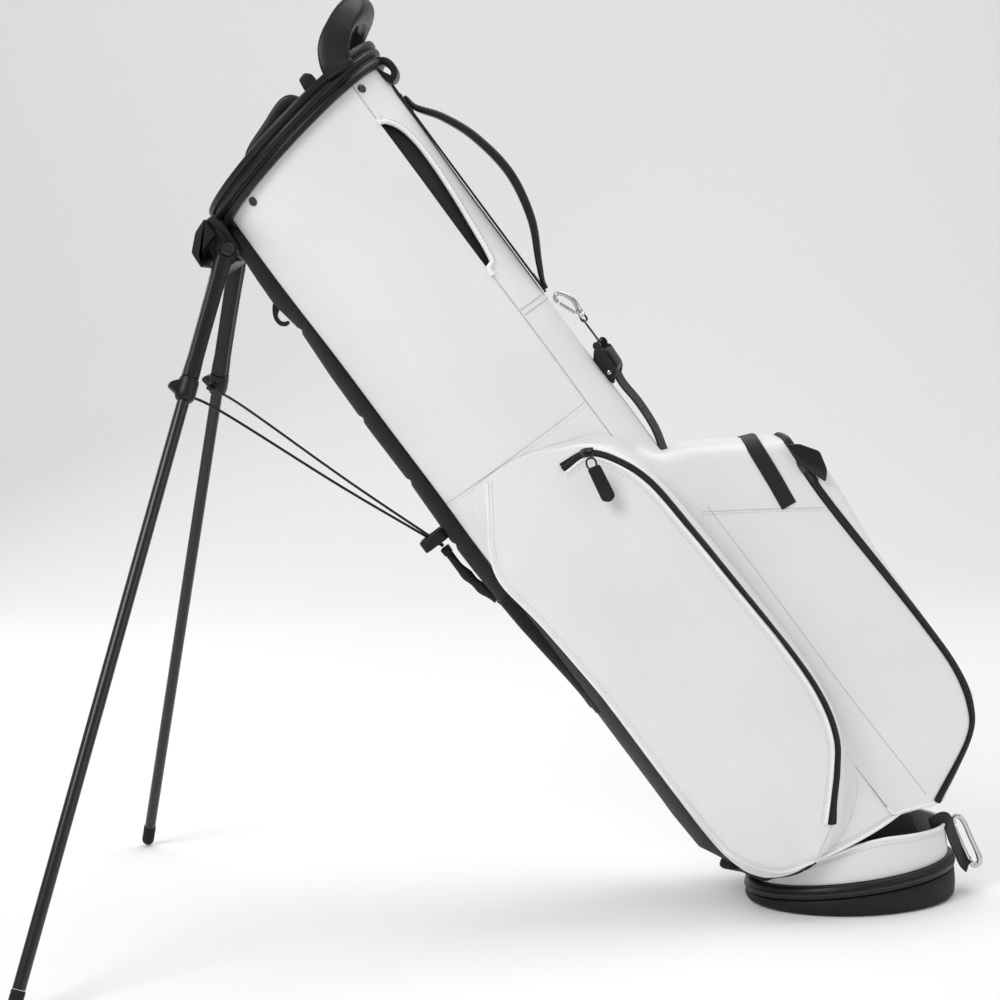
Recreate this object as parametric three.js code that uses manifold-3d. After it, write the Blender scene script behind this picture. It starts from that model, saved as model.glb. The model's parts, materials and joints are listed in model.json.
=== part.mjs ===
// Golf stand bag, leaning on its two legs. Millimetres, +Z up.
// The origin is the centre of the sole, on the ground. -X is the side of the legs, +X the side
// of the ball pocket. Most pieces are drawn in the bag's own frame: x runs from the spine (the leg
// side) to the ball side, y is the depth and z runs up the bag's axis. The bag group then leans.

import * as THREE from 'three';
import { mergeVertices } from 'three/addons/utils/BufferGeometryUtils.js';
import Module from 'manifold-3d';

const wasm = await Module();
wasm.setup();

// ---------------------------------------------------------------- driving dimensions

const LEAN = THREE.MathUtils.degToRad(34.2);
const GAP = 0.35;
const ROUND = 64;

const SHELL = { centre: 8, halfWidth: 100, halfDepth: 80, wall: 3 };
const DEPTH_RATIO = SHELL.halfDepth / SHELL.halfWidth;
const RIM = { height: 893, slope: 0.167 };
const HEM = { height: 65.5, slope: -0.207 };
const SPINE_SEAM = 160;
const BALL_SEAM = 43;
const COLLAR = { inner: 96, outer: 110.5, below: 7, above: 18 };

const BASE = { halfWidth: 100, halfDepth: 80, slope: 0.1, soleTop: 18.6, rimTop: 31.2 };
const CUFF = { halfWidth: 93, halfDepth: 73, wall: 3, top: 66, slope: 0.41, crest: 71 };
const GUSSET = { halfWidth: 86, halfDepth: 66, wall: 1.4, floorGap: 4.5, hemGap: 2, top: 76 };
const TILT_PIVOT = { x: 40, z: 40 };
const ACROSS = new THREE.Vector3(0, 1, 0);

const PIVOT = { x: -108, y: 40, z: 850 };
const SPLAY = THREE.MathUtils.degToRad(26.5);
const LEG_SWING = THREE.MathUtils.degToRad(52.7);
const LEG = { sleeve: 7.8, tube: 5.8, foot: 6.6, hub: 9, clampAt: 128, clampLength: 22, footLength: 24 };

const YOKE = { x: -114, y: 4, z: 505 };
const WIRE_RADIUS = 1.3;
const ROD_RADIUS = 2;

const WHITE = { color: 0xe4e5e6, roughness: 0.45, metalness: 0 };
const BLACK_PLASTIC = { color: 0x1f2022, roughness: 0.4, metalness: 0 };
const BLACK_FABRIC = { color: 0x202124, roughness: 0.85, metalness: 0 };
const BLACK_RUBBER = { color: 0x1a1a1b, roughness: 0.7, metalness: 0 };
const STEEL = { color: 0xb9bcc0, roughness: 0.3, metalness: 1 };
const DARK_METAL = { color: 0x55585c, roughness: 0.35, metalness: 1 };
const CARBON = { color: 0x26272a, roughness: 0.25, metalness: 0.2 };

// ---------------------------------------------------------------- solids

function signedVolume(geometry) {
  const p = geometry.attributes.position;
  const index = geometry.index.array;
  const a = new THREE.Vector3();
  const b = new THREE.Vector3();
  const c = new THREE.Vector3();
  let total = 0;
  for (let i = 0; i < index.length; i += 3) {
    a.fromBufferAttribute(p, index[i]);
    b.fromBufferAttribute(p, index[i + 1]);
    c.fromBufferAttribute(p, index[i + 2]);
    total += a.dot(b.cross(c));
  }
  return total;
}

function toSolid(geometry) {
  const bare = geometry.clone();
  bare.deleteAttribute('normal');
  bare.deleteAttribute('uv');
  const merged = mergeVertices(bare, 1e-4);
  const triVerts = Uint32Array.from(merged.index.array);
  if (signedVolume(merged) < 0) triVerts.reverse();
  const vertProperties = Float32Array.from(merged.attributes.position.array);
  return new wasm.Manifold(new wasm.Mesh({ numProp: 3, vertProperties, triVerts }));
}

function toGeometry(solid) {
  const mesh = solid.getMesh();
  const geometry = new THREE.BufferGeometry();
  geometry.setAttribute('position', new THREE.BufferAttribute(Float32Array.from(mesh.vertProperties), 3));
  geometry.setIndex(new THREE.BufferAttribute(Uint32Array.from(mesh.triVerts), 1));
  geometry.computeVertexNormals();
  return geometry;
}

function united(...solids) {
  return solids.reduce((whole, next) => whole.add(next));
}

// Keeps what lies under (or over) the plane z = height + slope * (x - SHELL.centre).
function keepBelow(solid, height, slope, middle = SHELL.centre) {
  const length = Math.hypot(slope, 1);
  return solid.trimByPlane([slope / length, 0, -1 / length], (slope * middle - height) / length);
}

function keepAbove(solid, height, slope, middle = SHELL.centre) {
  const length = Math.hypot(slope, 1);
  return solid.trimByPlane([-slope / length, 0, 1 / length], (height - slope * middle) / length);
}

function column(middle, halfWidth, halfDepth, low, high, sides = ROUND) {
  const geometry = new THREE.CylinderGeometry(1, 1, high - low, sides);
  geometry.rotateX(Math.PI / 2);
  geometry.scale(halfWidth, halfDepth, 1);
  geometry.translate(middle, 0, (low + high) / 2);
  return toSolid(geometry);
}

function tubeWall(middle, halfWidth, halfDepth, wall, low, high) {
  const outer = column(middle, halfWidth, halfDepth, low, high);
  return outer.subtract(column(middle, halfWidth - wall, halfDepth - wall, low - 1, high + 1));
}

// A slice of an upright oval, from one angle to another (degrees from +x, anticlockwise).
function sector(solid, from, to, halfWidth = SHELL.halfWidth, halfDepth = SHELL.halfDepth) {
  const cut = (piece, degrees, side) => {
    const angle = THREE.MathUtils.degToRad(degrees);
    const along = new THREE.Vector2(halfWidth * Math.cos(angle), halfDepth * Math.sin(angle)).normalize();
    const normal = [-along.y * side, along.x * side, 0];
    return piece.trimByPlane(normal, normal[0] * SHELL.centre + GAP / 2);
  };
  return cut(cut(solid, from, 1), to, -1);
}

function box(x0, x1, y0, y1, z0, z1) {
  const geometry = new THREE.BoxGeometry(x1 - x0, y1 - y0, z1 - z0);
  geometry.translate((x0 + x1) / 2, (y0 + y1) / 2, (z0 + z1) / 2);
  return toSolid(geometry);
}

// An outline in the x-z plane, given thickness from y0 to y1.
function slab(outline, y0, y1, bevel = 0) {
  const shape = new THREE.Shape(outline.map(([x, z]) => new THREE.Vector2(x, z)));
  const geometry = new THREE.ExtrudeGeometry(shape, {
    depth: y1 - y0 - 2 * bevel,
    bevelEnabled: bevel > 0,
    bevelThickness: bevel,
    bevelSize: bevel,
    bevelOffset: -bevel,
    bevelSegments: 2,
    curveSegments: 6,
  });
  geometry.rotateX(Math.PI / 2);
  geometry.translate(0, y1 - bevel, 0);
  return toSolid(geometry);
}

// The outline of a strap of even thickness along a smooth line in the x-z plane.
function strapOutline(points, halfThickness, steps) {
  const curve = new THREE.SplineCurve(points.map(([x, z]) => new THREE.Vector2(x, z)));
  const left = [];
  const right = [];
  for (let i = 0; i <= steps; i += 1) {
    const at = curve.getPoint(i / steps);
    const along = curve.getTangent(i / steps);
    left.push([at.x - along.y * halfThickness, at.y + along.x * halfThickness]);
    right.push([at.x + along.y * halfThickness, at.y - along.x * halfThickness]);
  }
  return left.concat(right.reverse());
}

function circle(radius, sides) {
  const corners = [];
  for (let i = 0; i < sides; i += 1) {
    const angle = (2 * Math.PI * i) / sides;
    corners.push(new THREE.Vector2(radius * Math.cos(angle), radius * Math.sin(angle)));
  }
  return new THREE.Shape(corners);
}

// A round bar along a smooth line through the points.
function bar(points, radius, steps, sides = 8) {
  const path = new THREE.CatmullRomCurve3(points.map((p) => new THREE.Vector3(...p)), false, 'centripetal');
  const geometry = new THREE.ExtrudeGeometry(circle(radius, sides), { steps, extrudePath: path });
  return toSolid(geometry);
}

function rod(from, to, radius, sides = 16) {
  const start = new THREE.Vector3(...from);
  const along = new THREE.Vector3(...to).sub(start);
  const geometry = new THREE.CylinderGeometry(radius, radius, along.length(), sides);
  geometry.translate(0, along.length() / 2, 0);
  const turn = new THREE.Quaternion().setFromUnitVectors(new THREE.Vector3(0, 1, 0), along.normalize());
  geometry.applyQuaternion(turn);
  geometry.translate(start.x, start.y, start.z);
  return toSolid(geometry);
}

function mirrored(solid) {
  return solid.mirror([0, 1, 0]);
}

// ---------------------------------------------------------------- the assembly

const stand_bag = new THREE.Group();
const bag = new THREE.Group();
bag.rotation.y = -LEAN;
stand_bag.add(bag);

function place(group, name, solid, look) {
  const mesh = new THREE.Mesh(toGeometry(solid), new THREE.MeshStandardMaterial(look));
  mesh.name = name;
  group.add(mesh);
  return mesh;
}

function placePair(group, name, nearSolid, look) {
  place(group, `${name}_near`, nearSolid, look);
  place(group, `${name}_far`, mirrored(nearSolid), look);
}

// ---------------------------------------------------------------- base

const PIN_RADIUS = 4;
const POST = { inner: 38, outer: 43.5 };
const ARM = { inner: 45, outer: 49, halfWidth: 8.5, below: 7 };

function buildBase() {
  const { halfWidth, halfDepth, slope, soleTop, rimTop } = BASE;
  const sole = column(0, halfWidth, halfDepth, 0, 60);
  place(stand_bag, 'base_sole', keepBelow(sole, soleTop, slope, 0), BLACK_RUBBER);

  const rim = tubeWall(0, halfWidth + 1, halfDepth + 1, 13, 0, 80);
  const rimBand = keepBelow(keepAbove(rim, soleTop + GAP, slope, 0), rimTop, slope, 0);
  place(stand_bag, 'base_rim', rimBand, BLACK_PLASTIC);

  const floorEdge = 12.6;
  const plate = column(0, halfWidth - floorEdge, halfDepth - floorEdge, 0, 60);
  let frame = keepBelow(keepAbove(plate, soleTop + GAP, slope, 0), soleTop + 4, slope, 0);
  const { x, z } = TILT_PIVOT;
  const post = box(x - 9, x + 9, -POST.outer, -POST.inner, soleTop + 6, z + 9);
  const bore = rod([x, -70, z], [x, 70, z], PIN_RADIUS + 0.3);
  const rodLug = box(-83, -76, -10, 10, 12, 30);
  frame = united(frame, post, mirrored(post), rodLug).subtract(bore);
  place(stand_bag, 'base_frame', frame, BLACK_PLASTIC);

  const cuffWall = tubeWall(0, CUFF.halfWidth, CUFF.halfDepth, CUFF.wall, 0, CUFF.top);
  const tallCuff = keepBelow(keepAbove(cuffWall, rimTop + GAP, slope, 0), CUFF.top, CUFF.slope, 0);
  const cuff = keepBelow(tallCuff, CUFF.crest, 0, 0);
  place(stand_bag, 'base_cuff', cuff, WHITE);

  // The folding gusset is a sleeve that ends just under the leaning shell's hem.
  const sleeveWall = tubeWall(0, GUSSET.halfWidth, GUSSET.halfDepth, GUSSET.wall, 0, 140);
  const hem = new THREE.Vector3(SHELL.centre, 0, HEM.height).applyAxisAngle(ACROSS, -LEAN);
  const hemSlope = Math.tan(LEAN + Math.atan(HEM.slope));
  const raised = keepAbove(sleeveWall, soleTop + GUSSET.floorGap, slope, 0);
  const sleeve = keepBelow(raised, hem.z - GUSSET.hemGap, hemSlope, hem.x);
  place(stand_bag, 'base_gusset', keepBelow(sleeve, GUSSET.top, 0), BLACK_FABRIC);

  const pinStem = rod([x, -POST.inner + 2, z], [x, -ARM.outer - 1, z], PIN_RADIUS);
  const pinHead = rod([x, -ARM.outer - GAP, z], [x, -ARM.outer - 2.6, z], PIN_RADIUS + 2);
  placePair(stand_bag, 'tilt_pin', united(pinStem, pinHead), STEEL);
}

// A webbing tab on the base's ball side, with a long snap clip hinged to its end.
const CLIP = { x: 122.5, z: 25.5, lean: THREE.MathUtils.degToRad(22), length: 52, halfWidth: 6.5 };

function buildTether() {
  const route = [[94.9, 62], [95.6, 52], [102.9, 43], [104.6, 34], [108, 29], [112, 27]];
  place(stand_bag, 'tether_strap', slab(strapOutline(route, 1.2, 12), -10, 10), BLACK_FABRIC);

  const clip = new THREE.Group();
  clip.position.set(CLIP.x, 0, CLIP.z);
  clip.rotation.y = -CLIP.lean;
  stand_bag.add(clip);
  const { length, halfWidth } = CLIP;
  const outer = [[0, -3.5], [5, -2], [halfWidth, 6], [halfWidth, length - 8], [2, length], [-3, length - 1],
    [-halfWidth, length - 7], [-halfWidth, length - 12], [-3.2, length - 12], [-2.6, length - 6],
    [1.5, length - 4], [3.4, length - 9], [3.4, 7], [0, 2.5], [-3.2, 4], [-3.2, 9], [-halfWidth, 9],
    [-halfWidth, 4], [-4, -1.5]];
  place(clip, 'tether_clip', slab(outer, -2.2, 2.2), STEEL);
  const gate = slab([[-6.2, 9.6], [-3.6, 9.6], [-3.6, length - 12.6], [-6.2, length - 12.6]], -1.6, 1.6);
  place(clip, 'tether_clip_gate', gate, DARK_METAL);
}

// ---------------------------------------------------------------- shell and inside

function shellPanel(from, to, low, high) {
  const { centre, halfWidth, halfDepth, wall } = SHELL;
  return sector(tubeWall(centre, halfWidth, halfDepth, wall, low, high), from, to);
}

function buildShell() {
  const top = RIM.height + 60;
  const side = shellPanel(-SPINE_SEAM, -BALL_SEAM, 0, top);
  const heelCut = slab([[-120, 200], [-88, 152], [-46, 60], [-120, 20]], -100, 100);
  const hemmed = keepAbove(side, HEM.height, HEM.slope).subtract(heelCut);
  placePair(bag, 'side_panel', keepBelow(hemmed, RIM.height, RIM.slope), WHITE);

  const ball = shellPanel(-BALL_SEAM, BALL_SEAM, 0, top);
  const ballPanel = keepBelow(keepAbove(ball, HEM.height, HEM.slope), RIM.height, RIM.slope);
  place(bag, 'ball_side_panel', ballPanel, WHITE);

  const heelTop = 165;
  const spine = shellPanel(SPINE_SEAM, 360 - SPINE_SEAM, heelTop + GAP, top);
  const rodSlot = box(-100, -80, -5, 5, 302, 416);
  const spinePanel = keepBelow(spine, RIM.height, RIM.slope).subtract(rodSlot);
  place(bag, 'spine_panel', spinePanel, BLACK_FABRIC);

  const heelProfile = [[97, heelTop], [94.5, 127], [86, 110.5], [76, 88], [79, 86], [89, 109], [97.5, 126],
    [100, heelTop], [97, heelTop]];
  const heel = new THREE.LatheGeometry(heelProfile.map(([r, z]) => new THREE.Vector2(r, z)), ROUND);
  heel.rotateX(Math.PI / 2);
  heel.scale(1, DEPTH_RATIO, 1);
  heel.translate(SHELL.centre, 0, 0);
  place(bag, 'spine_heel', sector(toSolid(heel), SPINE_SEAM, 360 - SPINE_SEAM), BLACK_FABRIC);
}

function shellColumn(grow = 0.5) {
  return column(SHELL.centre, SHELL.halfWidth + grow, SHELL.halfDepth + grow, -100, 1100);
}

// Foam pad down the upper spine, hollowed to the shell behind it.
const PAD = { halfWidth: 27, front: -103.8 };

function buildSpine() {
  const front = PAD.front;
  const outline = [[-60, 838], [-96, 838], [-101, 828], [front, 800], [front, 768], [-100.6, 752],
    [front, 715], [front, 486], [-98, 478], [-60, 478]];
  const pad = slab(outline, -PAD.halfWidth, PAD.halfWidth).subtract(shellColumn());
  place(bag, 'spine_pad', pad, BLACK_FABRIC);

  const stay = rod([-80.5, -22, 172], [-80.5, -22, 866], 2.8, 10);
  placePair(bag, 'spine_stay', stay, CARBON);

  const keeperOuter = box(-130, front - 0.6, -20, 20, 510, 522);
  const keeper = keeperOuter.subtract(box(-127, -107.4, -17, 17, 500, 530));
  place(bag, 'rod_keeper', keeper, BLACK_RUBBER);

  const hook = [[front - 0.5, 788], [-108, 785], [-113, 774], [-112, 768], [-109, 769], [-108, 777],
    [front - 0.5, 780]];
  place(bag, 'umbrella_hook', slab(hook, -5, 5), BLACK_PLASTIC);
}

const TIE_BAR = { spine: -46, ball: 36, halfThickness: 3 };

function buildDividers() {
  const { spine, ball, halfThickness } = TIE_BAR;
  const low = RIM.height - 26;
  const high = RIM.height + 60;
  const inside = column(SHELL.centre, COLLAR.inner - 0.6, (COLLAR.inner - 0.6) * DEPTH_RATIO, 0, 1100);
  const cross = (x) => box(x - halfThickness, x + halfThickness, -90, 90, low, high).intersect(inside);
  const crosses = keepBelow(united(cross(spine), cross(ball)), RIM.height + 14, RIM.slope);
  const gripOutline = [[spine, low], [ball, low], [ball, 930], [30, 937], [18, 940], [-40, 924],
    [spine, 912]];
  const fingerGap = slab([[-36, 888], [26, 888], [26, 924], [18, 927], [-36, 911]], -20, 20);
  const grip = slab(gripOutline, -4.5, 4.5).subtract(fingerGap);
  place(bag, 'divider_frame', united(crosses, grip), BLACK_PLASTIC);

  const sheetLow = 92;
  const sheetHigh = low - 1;
  const halfSheet = 0.8;
  const spineSheet = box(spine - halfSheet, spine + halfSheet, -62, 62, sheetLow, sheetHigh);
  place(bag, 'divider_sheet_spine', spineSheet, BLACK_FABRIC);
  const ballSheet = box(ball - halfSheet, ball + halfSheet, -72, 72, sheetLow, sheetHigh);
  place(bag, 'divider_sheet_ball', ballSheet, BLACK_FABRIC);
  const middleSheet = box(spine + 2, ball - 2, -halfSheet, halfSheet, sheetLow, sheetHigh);
  place(bag, 'divider_sheet_middle', middleSheet, BLACK_FABRIC);
}

// The moulded top collar is a ring of constant profile, sheared to the rim's slope.
function buildCollar() {
  const { inner, outer, below, above } = COLLAR;
  const skirt = SHELL.halfWidth + 0.7;
  const profile = [[skirt, -below], [outer - 3.5, -below], [outer - 2.5, -5], [outer - 2.5, -1],
    [outer - 4.2, 0.5], [outer - 4.2, 2], [outer - 1, 3.5], [outer - 0.5, 8], [outer - 2.2, 9.5],
    [outer - 2.2, 10.5], [outer, 12], [outer, above - 2], [outer - 2, above], [inner + 2, above],
    [inner, above - 2], [inner, 1], [skirt, 1], [skirt, -below]];
  const ring = new THREE.LatheGeometry(profile.map(([r, z]) => new THREE.Vector2(r, z)), 48);
  ring.rotateX(Math.PI / 2);
  ring.scale(1, DEPTH_RATIO, 1);
  const shear = new THREE.Matrix4().set(1, 0, 0, 0, 0, 1, 0, 0, RIM.slope, 0, 1, 0, 0, 0, 0, 1);
  ring.applyMatrix4(shear);
  ring.translate(SHELL.centre, 0, RIM.height);
  place(bag, 'collar', toSolid(ring), BLACK_PLASTIC);

  const top = (x) => RIM.height + above + RIM.slope * (x - SHELL.centre);
  const arch = [[68, -70, top(68) - 12], [68, -70, top(68) + 8], [92, -62, 950], [118, -38, 960],
    [128, 0, 958], [118, 38, 960], [92, 62, 950], [68, 70, top(68) + 8], [68, 70, top(68) - 12]];
  const loop = keepAbove(bar(arch, 9.5, 36, 10), RIM.height + above + 0.4, RIM.slope);
  place(bag, 'lift_handle', loop, BLACK_PLASTIC);
}

// ---------------------------------------------------------------- pockets, handle, strap hardware

const POCKET_FRONT = 98;
const sidePocketOutline = [[-47, 519], [-66, 496], [-83, 456], [-80, 395], [-71, 300], [-71, 220], [-69, 144],
  [-62, 112], [-40, 82], [-8, 70], [26, 86], [62, 126], [82, 154], [92, 190], [94, 243], [90, 327], [88, 390],
  [84, 446], [70, 481], [52, 500], [30, 508]];
const ballPocketOutline = [[70, 460], [110, 453], [131, 446], [170, 421], [205, 398], [214, 386], [222, 348],
  [217, 209], [214, 131], [204, 90], [183, 65], [118, 31], [109, 46], [70, 56]];
const BALL_POCKET_SIDE = 54;

function buildPockets() {
  const side = slab(sidePocketOutline, -POCKET_FRONT, -58, 9).subtract(shellColumn());
  placePair(bag, 'side_pocket', side, WHITE);
  const ball = slab(ballPocketOutline, -BALL_POCKET_SIDE, BALL_POCKET_SIDE, 8).subtract(shellColumn());
  place(bag, 'ball_pocket', ball, WHITE);
}

// Each zip has a metal slider and a leather pull that hangs on it.
function buildZips() {
  const face = -POCKET_FRONT;
  const slider = box(46, 55, face - 4, face - 0.5, 488, 500);
  placePair(bag, 'side_zip_slider', slider, DARK_METAL);
  const pullOutline = [[44.1, 487.6], [56.9, 484.6], [50.5, 455], [44, 453], [37.5, 458]];
  const pull = slab(pullOutline, face - 7, face - 4.5);
  placePair(bag, 'side_zip_pull', pull, BLACK_FABRIC);

  const edge = -BALL_POCKET_SIDE;
  place(bag, 'ball_zip_slider', box(199, 209, edge - 4, edge - 0.5, 366, 379), DARK_METAL);
  const ballPull = slab([[203, 378], [216, 383], [232, 366], [222, 343], [210, 350]], edge - 7, edge - 4.5);
  place(bag, 'ball_zip_pull', ballPull, BLACK_FABRIC);
}

function buildCarryHandle() {
  const face = SHELL.centre + SHELL.halfWidth;
  place(bag, 'handle_base_strip', box(face + 0.4, face + 3, -14, 14, 642, 884), BLACK_FABRIC);
  const route = [[117, 853], [134, 828], [145.5, 794], [150, 745], [136, 696], [117, 662]];
  place(bag, 'carry_handle', slab(strapOutline(route, 3.8, 18), -13, 13), BLACK_PLASTIC);
}

function buildStrapHardware() {
  const webbing = [[115, 459], [118.5, 478], [118, 505], [113.5, 529]];
  place(bag, 'lower_strap', slab(strapOutline(webbing, 1.3, 8), -10, 10), BLACK_FABRIC);
  const buckle = slab([[109.5, 563], [119, 572], [128, 566], [126, 541], [112, 531.5], [109.5, 540]], -4, 4);
  place(bag, 'strap_buckle', buckle, BLACK_PLASTIC);

  const ring = new THREE.TorusGeometry(1, 0.09, 8, 20);
  ring.rotateX(Math.PI / 2);
  ring.scale(6.2, 14, 11.8);
  ring.translate(122.5, 0, 586);
  place(bag, 'strap_ring', toSolid(ring), DARK_METAL);

  const swivel = rod([124, 0, 600], [124, 0, 608], 3.6, 12);
  const stem = bar([[124, 0, 607], [126.5, 0, 614], [127, 0, 624], [123, 0, 633], [116, 0, 634.5],
    [113, 0, 629]], 2.2, 14);
  place(bag, 'snap_hook', united(swivel, stem), STEEL);
  place(bag, 'snap_hook_gate', rod([119.8, 0, 609.5], [113.6, 0, 625.3], 1.4, 8), DARK_METAL);
}

// ---------------------------------------------------------------- legs and their linkage

function hingeAxis(side) {
  return new THREE.Vector3(side * Math.sin(SPLAY), Math.cos(SPLAY), 0);
}

// A point of the leg's own frame (z up the leg) brought to the bag's frame; side is -1 near, +1 far.
function legPoint(side, x, y, z) {
  const p = new THREE.Vector3(x, -side * y, z);
  p.applyAxisAngle(ACROSS, LEG_SWING);
  p.applyAxisAngle(new THREE.Vector3(0, 0, 1), -side * SPLAY);
  return p.add(new THREE.Vector3(PIVOT.x, side * PIVOT.y, PIVOT.z));
}

function legReach() {
  const down = new THREE.Vector3(0, 0, -1);
  down.applyAxisAngle(ACROSS, LEG_SWING);
  down.applyAxisAngle(new THREE.Vector3(0, 0, 1), SPLAY);
  const drop = -(down.x * Math.sin(LEAN) + down.z * Math.cos(LEAN));
  const height = PIVOT.x * Math.sin(LEAN) + PIVOT.z * Math.cos(LEAN);
  return (height - LEG.foot) / drop;
}

const BOLT_RADIUS = 3;
const BOLT_HEAD_RADIUS = 6.5;

function buildBracket() {
  const canopy = [[-104.4, 886], [-118, 880], [-135, 864], [-134.5, 852], [-131.5, 852], [-128, 862],
    [-104.4, 868]];
  const roof = slab(canopy, -44, 44);
  const plan = [[-104.6, -27.5], [-119.5, -35], [-127, -20], [-127, 20], [-119.5, 35], [-104.6, 27.5]];
  const shape = new THREE.Shape(plan.map(([x, y]) => new THREE.Vector2(x, y)));
  const core = new THREE.ExtrudeGeometry(shape, { depth: 30, bevelEnabled: false });
  core.translate(0, 0, 838);
  let bracket = united(roof, toSolid(core));
  for (const side of [-1, 1]) {
    const centre = new THREE.Vector3(PIVOT.x, side * PIVOT.y, PIVOT.z);
    const inward = hingeAxis(side).multiplyScalar(-side);
    const deep = centre.clone().addScaledVector(inward, 22);
    bracket = bracket.subtract(rod(centre.toArray(), deep.toArray(), BOLT_RADIUS + 0.3));
    const head = centre.clone().addScaledVector(inward, -11.5);
    const collarEnd = centre.clone().addScaledVector(inward, -8 - GAP);
    const tip = centre.clone().addScaledVector(inward, 18);
    const shank = rod(head.toArray(), tip.toArray(), BOLT_RADIUS);
    const bolt = united(rod(head.toArray(), collarEnd.toArray(), BOLT_HEAD_RADIUS), shank);
    place(bag, side < 0 ? 'pivot_bolt_near' : 'pivot_bolt_far', bolt, DARK_METAL);
  }
  place(bag, 'leg_bracket', bracket, BLACK_PLASTIC);
}

function buildLeg(side) {
  const suffix = side < 0 ? 'near' : 'far';
  const splay = new THREE.Group();
  splay.position.set(PIVOT.x, side * PIVOT.y, PIVOT.z);
  splay.rotation.z = -side * SPLAY;
  const leg = new THREE.Group();
  leg.rotation.y = LEG_SWING;
  splay.add(leg);
  bag.add(splay);

  const { sleeve, tube, foot, hub, clampAt, clampLength, footLength } = LEG;
  const hubDisc = rod([0, -8, 0], [0, 8, 0], hub);
  const upper = united(hubDisc, rod([0, 0, -2], [0, 0, -clampAt], sleeve));
  place(leg, `leg_sleeve_${suffix}`, upper.subtract(rod([0, -9, 0], [0, 9, 0], BOLT_RADIUS + 0.3)), CARBON);

  const clampEnd = clampAt + clampLength;
  const inner = -side;
  const grip = rod([0, 0, -clampAt - GAP], [0, 0, -clampEnd], sleeve + 1.6);
  const knob = box(-16, 0, -4, 4, -clampEnd + 5, -clampAt - 4);
  const eyeY = inner * 13;
  const eye = box(-5, 5, Math.min(0, eyeY), Math.max(0, eyeY), -clampEnd + 4, -clampAt - 4);
  place(leg, `leg_clamp_${suffix}`, united(grip, knob, eye), BLACK_PLASTIC);

  const reach = legReach();
  const tubeEnd = reach + foot - footLength;
  place(leg, `leg_tube_${suffix}`, rod([0, 0, -clampEnd - GAP], [0, 0, -tubeEnd], tube), CARBON);
  const ball = new THREE.SphereGeometry(foot, 16, 10);
  ball.rotateX(Math.PI / 2);
  ball.translate(0, 0, -reach);
  const tip = united(rod([0, 0, -tubeEnd - GAP], [0, 0, -reach], foot), toSolid(ball));
  place(leg, `leg_foot_${suffix}`, tip, BLACK_RUBBER);
}

// Two wires run from the leg clamps to a yoke on the spine; the push rod joins the yoke to the base.
function buildLinkage() {
  for (const side of [-1, 1]) {
    const suffix = side < 0 ? 'near' : 'far';
    const eye = legPoint(side, 0, 16.5, -LEG.clampAt - LEG.clampLength / 2);
    const yokeEnd = new THREE.Vector3(YOKE.x, side * YOKE.y, YOKE.z + 1);
    const bend = eye.clone().lerp(yokeEnd, 0.17).add(new THREE.Vector3(0, 0, 5));
    const middle = yokeEnd.clone().lerp(eye, 0.4);
    const points = [eye, bend, middle, yokeEnd].map((point) => point.toArray());
    place(bag, `leg_wire_${suffix}`, bar(points, WIRE_RADIUS, 14, 6), STEEL);
  }
  const yoke = box(YOKE.x - 4, YOKE.x + 4, -9, 9, YOKE.z - 10, YOKE.z - 0.6);
  const bootEnd = [-103.6, 0, 433];
  const boot = bar([[YOKE.x, 0, YOKE.z - 9], [-113.5, 0, 478], [-109, 0, 455], bootEnd], 4.2, 12, 10);
  place(bag, 'rod_boot', united(yoke, boot), BLACK_RUBBER);
  const rodPath = [[-103.4, 0, 432.4], [-95, 0, 404], [-79, 0, 366], [-66, 0, 332], [-62, 0, 300],
    [-62, 0, 200], [-62, 0, 86]];
  place(bag, 'push_rod', bar(rodPath, ROD_RADIUS, 22, 8), STEEL);
}

// Side levers carry the bag on the base's tilt pins.
function buildTiltArms() {
  const { x, z } = TILT_PIVOT;
  const pivot = new THREE.Vector3(x, 0, z).applyAxisAngle(ACROSS, LEAN);
  const shoulder = pivot.z + 56;
  const top = pivot.z + 110;
  const foot = pivot.z - ARM.below;
  const section = [[-ARM.outer, foot], [-ARM.inner, foot], [-ARM.inner, shoulder], [-62.4, shoulder + 14],
    [-62.4, top], [-66, top], [-66, shoulder + 12], [-ARM.outer, shoulder - 2]];
  const shape = new THREE.Shape(section.map(([y, h]) => new THREE.Vector2(y, h)));
  const geometry = new THREE.ExtrudeGeometry(shape, { depth: 2 * ARM.halfWidth, bevelEnabled: false });
  geometry.rotateX(Math.PI / 2);
  geometry.rotateZ(Math.PI / 2);
  geometry.translate(pivot.x - ARM.halfWidth, 0, 0);
  const bore = rod([pivot.x, -70, pivot.z], [pivot.x, 70, pivot.z], PIN_RADIUS + 0.3);
  const arm = toSolid(geometry).subtract(bore).intersect(column(SHELL.centre, 96.5, 76.5, -100, 400));
  placePair(bag, 'tilt_arm', arm, DARK_METAL);
}

buildBase();
buildTether();
buildShell();
buildSpine();
buildDividers();
buildCollar();
buildPockets();
buildZips();
buildCarryHandle();
buildStrapHardware();
buildBracket();
buildLeg(-1);
buildLeg(1);
buildLinkage();
buildTiltArms();

export default stand_bag;
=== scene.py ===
"""A golf stand bag in white coated leather with black trim, built round its fixed frame."""

import json
import math

import bmesh
import bpy
import numpy as np
from bpy.props import FloatProperty, FloatVectorProperty, PointerProperty
from mathutils import Matrix, Vector
from mathutils.bvhtree import BVHTree


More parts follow.
